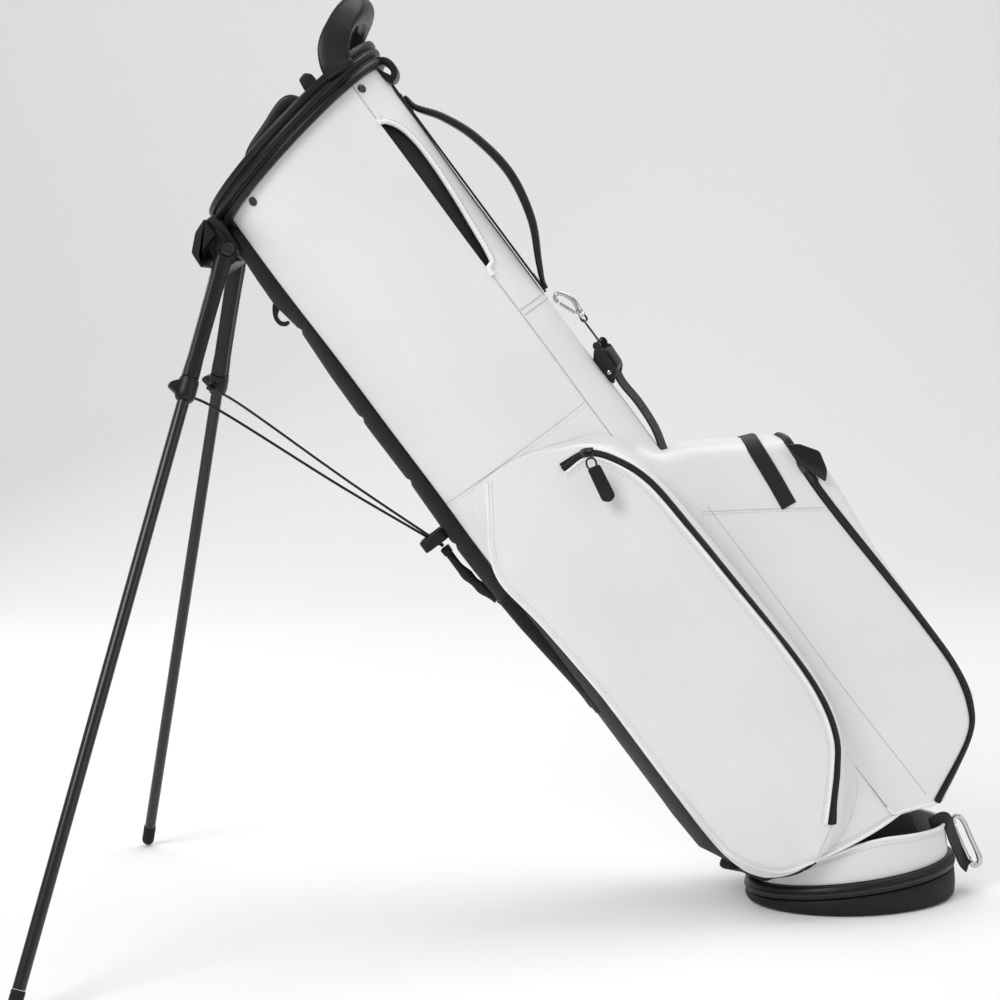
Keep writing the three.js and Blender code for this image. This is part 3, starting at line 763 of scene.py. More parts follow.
def nickel_plate(name):
    """Nickel-plated zinc: bright and mirror-like, with fine polishing lines."""
    base = tuple(bpy.context.scene.stand_bag_colours.metal)
    material, tree, shader = new_material(name, base, 0.16, 1.0)
    place = place_of(tree)
    vary_roughness(tree, shader, place, 400.0, 0.1, 0.26)
    lines = add_node(tree, "ShaderNodeTexNoise", {"Vector": place, "Scale": 900.0, "Detail": 4.0})
    raise_surface(tree, shader, lines.outputs[0], 0.00004, 0.25)
    return material


def gunmetal(name):
    """Black-nickel plate: dark grey metal, softly polished."""
    material, tree, shader = new_material(name, linear("#4A4C50"), 0.32, 1.0)
    place = place_of(tree)
    vary_colour(tree, shader, place, linear("#3E4043"), linear("#5C5E62"), 120.0, 0.7)
    vary_roughness(tree, shader, place, 300.0, 0.24, 0.42)
    return material


def coated_wire(name):
    """Spring steel wire with a black nylon coat: smooth, with a narrow highlight."""
    material, tree, shader = new_material(name, linear("#0E0F10"), 0.35, Specular_IOR_Level=0.3)
    place = place_of(tree)
    vary_roughness(tree, shader, place, 150.0, 0.28, 0.45)
    fine = add_node(tree, "ShaderNodeTexNoise", {"Vector": place, "Scale": 700.0})
    raise_surface(tree, shader, fine.outputs[0], 0.00008, 0.3)
    return material


def composite_tube(name):
    """Filament-wound composite under clear lacquer: near black, with a long clean highlight."""
    material, tree, shader = new_material(
        name, linear("#101113"), 0.38, Coat_Weight=0.45, Specular_IOR_Level=0.3, Coat_Roughness=0.12
    )
    place = place_of(tree, True)
    twill = add_node(
        tree, "ShaderNodeTexWave", {"Vector": place, "Scale": 0.31416 / 2.2}, bands_direction="DIAGONAL"
    )
    shade = add_node(
        tree, "ShaderNodeMix", {0: twill.outputs[1], 6: linear("#0C0D0E"), 7: linear("#17181A")}, data_type="RGBA"
    )
    tree.links.new(shade.outputs[2], shader.inputs["Base Color"])
    raise_surface(tree, shader, twill.outputs[1], 0.00008, 0.3)
    return material


def sewing_thread(name, base):
    """Bonded polyester thread, three strands twisted: dull, with a slanting twist."""
    material, tree, shader = new_material(name, base, 0.6, Sheen_Weight=0.2)
    place = place_of(tree)
    twist = add_node(
        tree, "ShaderNodeTexWave", {"Vector": place, "Scale": 0.31416 * 1000 / 0.6}, bands_direction="DIAGONAL"
    )
    raise_surface(tree, shader, twist.outputs[1], 0.0001, 0.5)
    return material


def white_thread(name):
    return sewing_thread(name, linear("#D3D5D7"))


def black_thread(name):
    return sewing_thread(name, linear("#3C3E41"))


def zip_tape(name):
    """Woven polyester zip tape: fine ribs along its length, matt black."""
    material, tree, shader = new_material(name, linear("#101113"), 0.72, Specular_IOR_Level=0.3)
    ribs = add_node(
        tree, "ShaderNodeTexWave", {"Vector": place_of(tree, True), "Scale": 0.31416 / 0.9}, bands_direction="X"
    )
    shade = add_node(
        tree, "ShaderNodeMix", {0: ribs.outputs[1], 6: linear("#0A0B0C"), 7: linear("#17181A")}, data_type="RGBA"
    )
    tree.links.new(shade.outputs[2], shader.inputs["Base Color"])
    raise_surface(tree, shader, ribs.outputs[1], 0.0002, 0.5)
    return material


def zip_coil(name):
    """Nylon monofilament coil: black with a small plastic glint on each turn."""
    material, tree, shader = new_material(name, linear("#1B1C1E"), 0.3)
    vary_roughness(tree, shader, place_of(tree), 300.0, 0.24, 0.42)
    return material


FINISHES = {
    "coated_leather_white": coated_leather,
    "piping_vinyl_white": piping_vinyl,
    # Painted shade: the grey of the tubes laid in the seams for their shadow.
    "leather_cut_edge": painted_seam_shade,
    "ballistic_nylon_black": woven_nylon,
    "webbing_black": ribbed_webbing,
    "spacer_mesh_black": spacer_mesh,
    "moulded_nylon_black": moulded_plastic,
    "polished_acetal_black": gloss_plastic,
    "waxed_leather_black": black_leather,
    "moulded_rubber_black": soft_rubber,
    "nickel_plate_polished": nickel_plate,
    "black_nickel_plate": gunmetal,
    "coated_wire_black": coated_wire,
    "composite_tube_lacquered": composite_tube,
    "thread_white": white_thread,
    "thread_black": black_thread,
    "zip_tape_black": zip_tape,
    "zip_coil_black": zip_coil,
}


# ---------------------------------------------------------------- the shell


def on_shell(angle, t, lift=0.0):
    """A point of the oval shell at an angle (degrees from the ball side, positive to the far side)."""
    a = np.radians(angle)
    v = MIDDLE + (WIDTH + lift) * np.cos(a)
    y = (DEPTH + lift) * np.sin(a)
    return np.stack(np.broadcast_arrays(v, y, np.asarray(t, float)), -1)


def cut_height(plane, v):
    return plane[0] + plane[1] * (v - MIDDLE)


def shell_lift(angle, t):
    """How far the leather stands off the true oval: slow waves, dips at the seams, and the tucked heel."""
    side = np.abs(((angle + 180) % 360) - 180)
    wave = 0.55 * np.sin(t / 61 + angle / 29) + 0.3 * np.sin(t / 27 - angle / 19 + 1.3)
    arc = math.radians(1) * 90
    for seam in (BALL_SEAM, spine_seam(t)):
        wave = wave - 0.5 * np.exp(-(((side - seam) * arc / 2.2) ** 2))
    panel = (side > BALL_SEAM) & (side < SPINE_SEAM)
    wave = wave - np.where(panel, 0.8, 0.0) * np.exp(-(((t - CROSS_SEAM) / 3.4) ** 2))
    tuck = np.interp(t, [86, 109, 126, 165], [21, 11, 2.5, 0])
    return wave - tuck * ease((side - 112) / 38)


def crescent(t):
    """How far the ball-side panel's edge is pulled back from its seam, in degrees: the pocket mouth."""
    edge = smooth(
        [(600, 0), (685, 0), (691, 5), (705, 8), (731, 11), (765, 14.4), (796, 16), (820, 15.6), (838, 12.6),
         (849, 8), (857, 2), (860, 0), (940, 0)], 1,
    )
    return np.interp(t, edge[:, 0], edge[:, 1]).clip(0)


def spine_seam(t):
    """Angle of the seam between the side leather and the spine cover: it runs forward below the pocket."""
    return np.interp(
        t, [66, 81, 114, 144, 220, 307, 395, 456, 500],
        [113, 120, 136, 141.5, 143, 142.5, 152.5, 158, SPINE_SEAM],
    )


def shell_sheet(first, last, rows, columns, low=None, high=None, lift=0.0, wall=WALL):
    """A panel of the shell between two edge angles, each a function of the height."""
    c = np.linspace(0, 1, columns)[None, :]
    s = np.linspace(0, 1, rows)[:, None]
    t = 60 + s * 840 + 0 * c
    for _ in range(6):
        angle = first(t) + (last(t) - first(t)) * c
        v = MIDDLE + WIDTH * np.cos(np.radians(angle))
        bottom = cut_height(HEM, v) if low is None else low
        top = cut_height(RIM, v) if high is None else high
        t = bottom + s * (top - bottom)
    stand = shell_lift(angle, t) + lift
    edge = np.minimum(np.minimum(c, 1 - c) * (columns - 1), np.minimum(s, 1 - s) * (rows - 1))
    roll = 0.45 * np.clip(1 - edge, 0, 1)
    return Shape().thick(on_shell(angle, t, stand - roll), on_shell(angle, t, stand - wall + roll))


def fixed(angle):
    return lambda t: np.full_like(t, float(angle))


def slot_cutter():
    """The upright slot in the spine cover that the push rod slides in."""
    outline = rounded([(-7, 296), (7, 296), (7, 422), (-7, 422)], 6.5, 8)
    rings = [np.stack([np.full(len(outline), v), outline[:, 0], outline[:, 1]], 1) for v in (-120.0, -70.0)]
    return new_object("slot_cutter", to_mesh("slot_cutter", Shape().grid(np.array(rings), True, True), from_bag))


def build_shell():
    rows, columns = 220, 60
    for name, side in SIDES.items():
        inner = fixed(side * (BALL_SEAM - 0.2))
        outer = lambda t: side * (spine_seam(t) + 0.3)
        sheet = shell_sheet(*((outer, inner) if side < 0 else (inner, outer)), rows, columns)
        make(
            f"side_leather_{name}", sheet, "coated_leather_white", "bag",
            [f"side_panel_{name}"],
        )
    ball = shell_sheet(
        lambda t: crescent(t) - BALL_SEAM, lambda t: BALL_SEAM - crescent(t), rows, 44
    )
    make("ball_side_leather", ball, "coated_leather_white", "bag", ["ball_side_panel"])
    spine = shell_sheet(lambda t: spine_seam(t) - 0.3, lambda t: 360.3 - spine_seam(t), rows, 40)
    cover = make(
        "spine_cover", spine, "ballistic_nylon_black", "bag", ["spine_panel", "spine_heel"]
    )
    cutter = slot_cutter()
    cut = cover.modifiers.new("slot", "BOOLEAN")
    cut.operation = "DIFFERENCE"
    cut.solver = "EXACT"
    cut.object = cutter
    made = evaluated(cover)
    cover.modifiers.clear()
    cover.data = made
    made.shade_smooth()
    made.set_sharp_from_angle(angle=math.radians(40))
    discard(cutter)
    outline = rounded([(-7, 296), (7, 296), (7, 422), (-7, 422)], 6.5, 8)
    line = evenly(outline, 3, True)
    v = MIDDLE - (WIDTH + 0.3) * np.sqrt(1 - (line[:, 0] / DEPTH) ** 2)
    trim = Shape().tube(np.stack([v, line[:, 0], line[:, 1]], 1), 1.6, (1, 0, 0), True, 10)
    make("rod_slot_binding", trim, "waxed_leather_black", "bag")


def arc_line(first, last, t, lift, step=3.0):
    """A line round the shell at height t (a number, or a plane as hem or rim)."""
    count = max(8, int(abs(last - first) * 1.57 / step))
    angle = np.linspace(first, last, count)
    v = MIDDLE + WIDTH * np.cos(np.radians(angle))
    height = cut_height(t, v) if isinstance(t, tuple) else np.full(count, float(t))
    spots = on_shell(angle, height)
    axis = np.stack([np.full(count, float(MIDDLE)), 0 * angle, height], 1)
    return on_shell(angle, height, shell_lift(angle, height) + lift), unit(spots - axis)


def seam_line(angle, low, high):
    """The upright seam line at an angle given for each height."""
    t = np.linspace(low, high, int((high - low) / 4))
    turn = angle(t)
    line = on_shell(turn, t, shell_lift(turn, t) + 0.15)
    return line, unit(on_shell(turn, t, 1.0) - on_shell(turn, t))


def build_shell_seams():
    """Grey tubes of painted shade in the seams, piping round the hem, and the mesh inside the two crescent mouths.
    """
    given = sizes()
    thin, thick = mm(given.seam_shade_radius), mm(given.piping)
    seams, hem, stitches = Shape(), Shape(), []
    for side in (-1, 1):
        line, out = arc_line(side * (SPINE_SEAM - 1), side * (BALL_SEAM + 1), CROSS_SEAM, 0.1)
        seams.tube(line, thin, (0, 0, 1), sides=8)
        stitches.append((line + (0, 0, -3.6) + out * 0.5, out))
        for low, high in ((458, 684), (861, 900)):
            line, out = seam_line(lambda t: np.full_like(t, side * BALL_SEAM), low, high)
            seams.tube(line, thin, out, sides=8)
    for t in (636.0, 642.0):
        line, _ = arc_line(-BALL_SEAM + 1, BALL_SEAM - 1, t, 0.3)
        seams.tube(line, thin, (0, 0, 1), sides=8)
    # The seam lines are grey tubes of painted shade for the shadow in the seam grooves.
    make("seam_edges", seams, "leather_cut_edge", "bag")
    line, out = arc_line(-121, 121, HEM, 0.2)
    hem.tube(line + (0, 0, 0.6), thick, (0, 0, 1), sides=16)
    make("hem_piping", hem, "piping_vinyl_white", "bag")
    stitches.append((line + (0, 0, 5.2) + out * 0.4, out))
    line, out = arc_line(120, 240, HEM, 0.2)
    make("heel_binding", Shape().tube(line, 1.8, (0, 0, 1)), "waxed_leather_black", "bag")
    mouth, edge = Shape(), Shape()
    t = np.linspace(683, 861, 90)
    for side in (-1, 1):
        angle = side * (BALL_SEAM - crescent(t))
        curve = on_shell(angle, t, shell_lift(angle, t) + 0.3)
        out = unit(on_shell(angle, t, 1.0) - on_shell(angle, t))
        edge.tube(curve, 2.3, out, sides=16)
        stitches.append((on_shell(angle - side * 3.8, t, shell_lift(angle - side * 3.8, t) + 0.35), out))
        first, last = (fixed(-BALL_SEAM - 3), fixed(-22)) if side < 0 else (fixed(22), fixed(BALL_SEAM + 3))
        mouth.join(shell_sheet(first, last, 60, 20, 672, 870, -WALL - 2.4, 1.2))
    make("pocket_mouth_mesh", mouth, "spacer_mesh_black", "bag")
    make("pocket_mouth_piping", edge, "piping_vinyl_white", "bag")
    return stitches


# ---------------------------------------------------------------- pockets

SIDE_OUTLINE = (
    (-40, 534), (-60, 505), (-76, 480), (-84, 450), (-77, 395), (-71, 300), (-71, 220), (-69, 144), (-61, 110),
    (-38, 80), (-6, 68), (30, 78), (66, 116), (88, 152), (98, 190), (100, 243), (96.5, 327), (94, 390), (90, 448),
    (76, 486), (54, 508), (30, 520), (2, 534),
)
SIDE_ZIP = (
    (26, 502), (51, 500.5), (69, 481), (83, 446), (87.5, 390), (90.5, 327), (94, 243), (91.5, 192), (81, 154),
    (63, 128), (44, 107), (29, 91),
)
BALL_OUTLINE = (
    (66, 462), (110, 453), (131, 446), (170, 421), (205, 399), (217, 386), (222, 348), (215, 270), (213.5, 209),
    (212, 131), (204, 91), (183, 66), (119, 29), (104, 35), (66, 47),
)
BALL_ZIP = (
    (205, 372), (204, 345), (204.5, 310), (207, 248), (209, 180), (208, 131), (199, 95), (179, 69), (120, 38),
)


def shell_depth(v, grow=0.6):
    share = np.clip(1 - ((v - MIDDLE) / (WIDTH + grow)) ** 2, 0, 1)
    return (DEPTH + grow) * np.sqrt(share)


def push_out(points, grow=0.7):
    """Points inside the shell move out to its skin."""
    moved = points.copy()
    x, y = (moved[:, 0] - MIDDLE) / (WIDTH + grow), moved[:, 1] / (DEPTH + grow)
    reach = np.maximum(np.hypot(x, y), 1e-6)
    inside = reach < 1
    moved[inside, 0] = MIDDLE + x[inside] / reach[inside] * (WIDTH + grow)
    moved[inside, 1] = y[inside] / reach[inside] * (DEPTH + grow)
    return moved


def fabric_form(name, outline, low, high, shape_it):
    """A closed form from an outline, remeshed to even fabric cells and then shaped."""
    flat = smooth(outline, 6, True)
    form = new_object(name, to_mesh(name, Shape().plate(flat, low, high, 7, 4), from_bag))
    remesh = form.modifiers.new("even", "REMESH")
    remesh.mode = "VOXEL"
    remesh.voxel_size = sizes().voxel
    mesh = evaluated(form)
    form.modifiers.clear()
    form.data = mesh
    points = shape_it(to_bag(coordinates(mesh)))
    mesh.vertices.foreach_set("co", from_bag(points).ravel())
    mesh.update()
    return form, points


def swell(form, held, pressure, limit):
    """Blows a fabric form up by cloth simulation and caps how far any point moves."""
    before = coordinates(form.data)
    group = form.vertex_groups.new(name="held")
    for index, share in enumerate(held):
        if share > 0:
            group.add([index], float(share), "REPLACE")
    cloth = form.modifiers.new("cloth", "CLOTH")
    cloth.settings.quality = 5
    cloth.settings.mass = 0.3
    cloth.settings.tension_stiffness = 30
    cloth.settings.compression_stiffness = 30
    cloth.settings.shear_stiffness = 15
    cloth.settings.bending_stiffness = 6
    cloth.settings.use_pressure = True
    cloth.settings.uniform_pressure_force = pressure
    cloth.settings.effector_weights.gravity = 0
    cloth.settings.vertex_group_mass = "held"
    scene = bpy.context.scene
    for number in range(1, 21):
        scene.frame_set(number)
    after = coordinates(evaluated(form))
    form.modifiers.remove(cloth)
    form.vertex_groups.clear()
    scene.frame_set(1)
    moved = after - before
    far = np.linalg.norm(moved, axis=1, keepdims=True)
    moved *= np.minimum(1, limit / np.maximum(far, 1e-9))
    form.data.vertices.foreach_set("co", (before + moved).ravel())
    form.data.update()


def relax(mesh, held, passes):
    """Evens out the voxel steps, leaving the held points alone."""
    work = bmesh.new()
    work.from_mesh(mesh)
    work.verts.ensure_lookup_table()
    free = [work.verts[i] for i in np.nonzero(held < 0.5)[0]]
    for _ in range(passes):
        bmesh.ops.smooth_vert(work, verts=free, factor=0.5, use_axis_x=True, use_axis_y=True, use_axis_z=True)
    work.to_mesh(mesh)
    work.free()


def subdivided(form, levels=1):
    surface = form.modifiers.new("fine", "SUBSURF")
    surface.levels = levels
    surface.render_levels = levels
    mesh = evaluated(form)
    form.modifiers.clear()
    form.data = mesh
    mesh.shade_smooth()
    return mesh


def shape_side_pocket(points):
    """The near pocket's form hugs the shell and fades into it at the cross seam."""
    v, y, t = points.T
    skin = -shell_depth(v)
    stand = np.maximum(skin - y, 0)
    fade = ease((CROSS_SEAM - t) / 95)
    shaped = np.stack([v, np.where(stand > 0, skin - stand * fade - 0.4, y), t], 1)
    return push_out(shaped)


def build_side_pockets():
    given = sizes()
    form, points = fabric_form("side_pocket_leather_near", SIDE_OUTLINE, -91, -40, shape_side_pocket)
    reach = np.hypot((points[:, 0] - MIDDLE) / WIDTH, points[:, 1] / DEPTH)
    held = np.where((reach < 1.03) | (points[:, 2] > 522), 1.0, 0.0)
    swell(form, held, 4.0, given.swell)
    relax(form.data, held, 6)
    mesh = subdivided(form)
    mesh.materials.clear()
    mesh.materials.append(finish("coated_leather_white"))
    twin_mesh = mesh.copy()
    twin_mesh.transform(Matrix.Scale(-1, 4, (0, 1, 0)))
    twin_mesh.flip_normals()
    twin = new_object("side_pocket_leather_far", twin_mesh)
    for name, piece in (("near", form), ("far", twin)):
        settle(piece, "bag", [f"side_pocket_{name}"])
    return {-1: Surface(mesh), 1: Surface(twin_mesh)}


def ball_pocket_hem(v):
    """The ball pocket's lower edge: it runs on from the shell's hem and then falls more steeply."""
    return cut_height(HEM, v) + 0.6 - 0.2 * np.clip(v - 78, 0, None)


def shape_ball_pocket(points):
    """The ball pocket's form stays outside the shell, and above its hem where it lies on it."""
    moved = push_out(points)
    moved[:, 2] = np.maximum(moved[:, 2], ball_pocket_hem(moved[:, 0]))
    return moved


def build_ball_pocket():
    given = sizes()
    form, points = fabric_form("ball_pocket_leather", BALL_OUTLINE, -50, 50, shape_ball_pocket)
    reach = np.hypot((points[:, 0] - MIDDLE) / WIDTH, points[:, 1] / DEPTH)
    low = (points[:, 0] < 130) & (points[:, 2] < ball_pocket_hem(points[:, 0]) + 4)
    held = np.where((reach < 1.02) | (points[:, 0] > 206) | low, 1.0, 0.0)
    swell(form, held, 4.0, given.swell)
    relax(form.data, held, 6)
    mesh = subdivided(form)
    mesh.materials.clear()
    mesh.materials.append(finish("coated_leather_white"))
    settle(form, "bag", ["ball_pocket"])
    return Surface(mesh)


def around(skin, v, t, turns, lift, rise):
    """A line over the ball pocket from v on the near side (0 degrees) over the top to the far side (180)."""
    spots, facings = [], []
    for turn in turns:
        a = math.radians(turn)
        out = np.array((0.0, -math.cos(a), math.sin(a)))
        spot, facing = skin.cast([np.array((v + rise * math.sin(a), 0.0, t)) + out * 220], -out, lift)
        spots.append(spot[0])
        facings.append(out * 0.4 + facing[0] * 0.6)
    return np.array(spots), unit(np.array(facings))


def wrapped(skin, line, v, t, lift, rise):
    """A line of (v, t) up the near side, over the top at v + rise, and down the far side."""
    near, near_out = skin.from_side(line, -1, lift)
    over, over_out = around(skin, v, t, np.linspace(4, 176, 60), lift + 0.7, rise)
    far, far_out = skin.from_side(line, 1, lift)
    whole = np.concatenate([near, over, far[::-1]])
    facing = np.concatenate([near_out, over_out, far_out[::-1]])
    both = evenly(np.concatenate([whole, facing * 1e-3], 1), 3)
    return soften(both[:, :3], 3), unit(soften(both[:, 3:], 4))


def offset_line(line, distance):
    """A line in (v, t) moved sideways."""
    along = np.gradient(line, axis=0)
    normal = unit(np.stack([-along[:, 1], along[:, 0]], 1))
    return line + normal * distance


def zip_strip(tape, spots, facings, width, flare=0.7):
    """A zip's tape, a little wider where its ends are tucked in."""
    far = np.minimum(np.arange(len(spots)), np.arange(len(spots))[::-1]) * 3.0
    wide = 1 + flare * np.exp(-((far / 14) ** 2))
    tape.sweep(spots + facings * 0.3, band(width, 1.1, 16), facings, scale=(wide, 1.0))


def build_pocket_trim(side_skins, ball_skin):
    """Piping, zips and stitches of the pockets."""
    given = sizes()
    thick, thin, width = mm(given.piping), mm(given.seam_shade_radius), mm(given.tape)
    piping, seams, tape = Shape(), Shape(), Shape()
    coils, stitches = [], []
    zip_line = smooth(SIDE_ZIP, 3)
    left = smooth(SIDE_OUTLINE[:11], 3)
    for side, skin in side_skins.items():
        spots, facings = skin.from_side(zip_line, side, 0.2)
        zip_strip(tape, spots, facings, width)
        coils.append((spots + facings * 0.9, facings))
        inner, out = skin.from_side(offset_line(zip_line, -width / 2 - 1.4), side, 0.2)
        piping.tube(inner, thick, out, sides=14)
        row, out = skin.from_side(offset_line(zip_line, -width / 2 - 6.0), side, 0.25)
        stitches.append((row, out))
        edge, out = skin.from_side(offset_line(left, 2.2), side, 0.2)
        piping.tube(edge, thick, out, sides=14)
        row, out = skin.from_side(offset_line(left, 7.0), side, 0.25)
        stitches.append((row, out))
        tail, out = skin.from_side(smooth([(29, 89), (14, 80), (0, 71)], 3), side, 0.1)
        seams.tube(tail, thin, out, sides=8)
    make("side_zip_tape", tape, "zip_tape_black", "bag")
    line = smooth(BALL_ZIP, 3)
    whole, facing = wrapped(ball_skin, line[::-1], 205, 345, 0.2, 3)
    ball_tape = Shape()
    zip_strip(ball_tape, whole, facing, width + 1.2, 0.0)
    make("ball_zip_tape", ball_tape, "zip_tape_black", "bag")
    coils.append((whole + facing * 0.9, facing))
    for side in (-1, 1):
        row, out = ball_skin.from_side(smooth([(104, 391), (150, 360), (198, 326)], 3), side, 0.05)
        seams.tube(row, thin, out, sides=8)
        stitches.append((row + (0, 0, -3.0) + out * 0.2, out))
        row, out = ball_skin.from_side(smooth([(112, 392), (113, 300), (113, 180), (116, 50)], 4), side, 0.05)
        seams.tube(row, thin, out, sides=8)
        v = np.linspace(76, 118, 16)
        hem, out = ball_skin.from_side(np.stack([v, ball_pocket_hem(v) + 2.8], 1), side, 0.0)
        piping.tube(hem, thick, out, sides=14)
    make("pocket_piping", piping, "piping_vinyl_white", "bag")
    # The pocket seam lines are grey tubes of painted shade for the shadow in the seam grooves.
    make("pocket_seam_edges", seams, "leather_cut_edge", "bag")
    rising = smooth([(173, 347), (174.5, 360), (176, 372)], 3)
    whole, facing = wrapped(ball_skin, rising, 176.5, 378, 0.4, 5)
    strap = Shape().sweep(whole, band(15, 1.6, 20), facing)
    make("ball_pocket_band", strap, "webbing_black", "bag")
    return coils, stitches


def zip_slider(width, long, tall):
    """A slider body with a bridge, lying along x at the origin."""
    spine = smooth([(-long / 2, 0, 0.4), (-long / 6, 0, 0.9), (long / 6, 0, 0.9), (long / 2, 0, 0.4)], 1.0)
    share = np.linspace(0, 1, len(spine))
    wide = 0.72 + 0.28 * ease(share * 2.5)
    body = Shape().sweep(spine, oval(width / 2, 1.3, 20, 3.5), (0, 0, 1), scale=(wide, 1.0))
    bridge = smooth([(-long / 3, 0, 1.4), (-long / 5, 0, tall), (long / 5, 0, tall), (long / 3, 0, 1.4)], 0.7)
    return body.tube(bridge, 1.0, (0, 1, 0), sides=8)


def aim(shape, origin, ahead, facing):
    """Turns a small shape so that its x runs ahead and its z faces out, and moves it to origin."""
    x = unit(ahead)
    z = unit(np.asarray(facing, float) - np.dot(facing, x) * x)
    turn = np.stack([x, np.cross(z, x), z], 1)
    shape.points = [p @ turn.T + origin for p in shape.points]
    return shape


def pull_tab(points, side, depth, thick):
    """A folded leather pull: a rounded plate with a shallow crown."""
    tab = Shape().plate(rounded(points, 3.2), depth, depth + thick, 0.9)
    return tab if side < 0 else tab.mirrored()


def build_zip_hardware(side_skins, ball_skin):
    for name, side in SIDES.items():
        track = np.array([(49.0, 501.5), (52.0, 500.0), (55.0, 498.0)])
        spots, facings = side_skins[side].from_side(track, side, 1.6)
        slider = aim(zip_slider(9, 12, 4.2), spots[1], spots[2] - spots[0], facings[1])
        make(
            f"side_zip_slider_body_{name}", slider, "black_nickel_plate", f"side_slider_{name}",
            [f"side_zip_slider_{name}"],
        )
        tab = pull_tab([(44.5, 490), (56.5, 487), (50.8, 455), (44, 453), (38, 458)], side, -106.4, 2.6)
        loop = aim_ring(5.2, 4.4, (50.5, side * 103.6, 491.5), (0.35, 0, 0.94), (0, side, 0))
        ring = Shape().tube(loop, 0.9, (0, side, 0), True, 8)
        make(
            f"side_zip_pull_tab_{name}", tab.join(ring), "waxed_leather_black", f"side_pull_{name}",
            [f"side_zip_pull_{name}"],
        )
    spots, facings = ball_skin.from_side(np.array([(205.0, 376.0), (205.0, 370.0), (204.6, 364.0)]), -1, 1.6)
    slider = aim(zip_slider(9, 13, 4.2), spots[1], spots[2] - spots[0], facings[1])
    make("ball_zip_slider_body", slider, "black_nickel_plate", "ball_slider", ["ball_zip_slider"])
    outline = [(203, 396), (214, 389), (225.5, 372), (221, 354), (213, 345), (206, 366)]
    tab = pull_tab(outline, -1, spots[1][1] - 6.0, 4.2)
    make("ball_zip_pull_tab", tab, "polished_acetal_black", "ball_pull", ["ball_zip_pull"])


def aim_ring(a, b, centre, long_way, facing):
    """The path of an oval ring."""
    flat = evenly(oval(a, b, 40, 2.4), 1.0, True)
    x = unit(long_way)
    y = np.cross(unit(facing), x)
    return np.asarray(centre, float) + flat[:, :1] * x + flat[:, 1:] * y


def build_repeats(coils, stitches):
    """Zip teeth and stitches, each row laid by Geometry Nodes."""
    given = sizes()
    bow = [(0, -2.3, -0.2), (0, -1.5, 0.35), (0, 0, 0.5), (0, 1.5, 0.35), (0, 2.3, -0.2)]
    tooth = small_piece("tooth", Shape().tube(bow, 0.62, sides=6))
    repeated("zip_teeth", coils, tooth, given.tooth_step, "zip_coil_black", "bag")
    discard(tooth)
    stitch = stitch_piece(mm(given.stitch), 0.8)
    repeated(
        "leather_stitches", stitches, stitch, given.stitch_step, "thread_white", "bag", 0.05
    )
    discard(stitch)


# ---------------------------------------------------------------- collar, handles, inside


def lofted_ring(profile, segments, slope, height, squash=DEPTH / WIDTH):
    """A ring of constant profile (radius, height), oval and sheared to the rim's slope."""
    angle = np.linspace(0, 2 * math.pi, segments, endpoint=False)[:, None]
    r = np.array([p[0] for p in profile])[None, :]
    z = np.array([p[1] for p in profile])[None, :]
    x = r * np.cos(angle)
    rows = np.stack([MIDDLE + x, r * squash * np.sin(angle), height + z + slope * x], -1)
    rows = np.concatenate([rows, rows[:1]])
    return Shape().grid(rows, wrap=True)


def build_collar():
    profile = [
        (101.0, -7), (106.2, -7), (107.6, -6.4), (108.2, -5), (108.2, -2.2), (107.6, -0.8), (106.2, 0),
        (105.8, 0.8), (105.8, 1.6), (106.4, 2.4), (108.8, 3), (109.8, 4), (110.1, 6), (109.8, 8),
        (108.8, 9), (107.7, 9.5),
        (107.7, 10.4), (108.8, 10.9), (110.1, 11.6), (110.5, 13), (110.5, 15.6), (109.8, 17.2), (108.2, 18),
        (99, 18), (97.2, 17.4), (96.2, 16), (96, 13), (96, 3), (96.6, 1.6), (98, 1), (101, 1),
    ]
    ring = lofted_ring(profile, 160, RIM[1], RIM[0])
    loop = smooth(
        [(104, 0, 905), (111, 0, 909), (118.6, 0, 903), (118.8, 0, 892), (113, 0, 887.5), (109, 0, 893)],
        1.5, True,
    )
    ring.sweep(loop, oval(3.5, 17, 24, 5), (0, 1, 0), closed=True)
    for side in (-1, 1):
        post = rounded([(42, 914), (57, 917), (57, 926), (52, 931), (44, 929)], 2.5)
        low, high = sorted((side * 66.0, side * 78.0))
        ring.plate(post, low, high, 1.4)
    make("top_collar", ring, "moulded_nylon_black", "bag", ["collar"])
    rivets = Shape()
    head = [(0, -1), (4.3, -1), (4.3, 0.6), (3.8, 1.3), (2.4, 1.5), (2.0, 1.1), (0, 1.0)]
    for angle, drop in ((-39.6, 14), (-130.5, 13.5), (39.6, 14), (130.5, 13.5)):
        v = MIDDLE + WIDTH * math.cos(math.radians(angle))
        spot = on_shell(angle, cut_height(RIM, v) - drop, 0.0)
        out = spot - np.array((MIDDLE, 0, spot[2]))
        out[1] *= (WIDTH / DEPTH) ** 2
        rivets.lathe(head, spot, out, 28)
    make("collar_rivets", rivets, "black_nickel_plate", "bag")


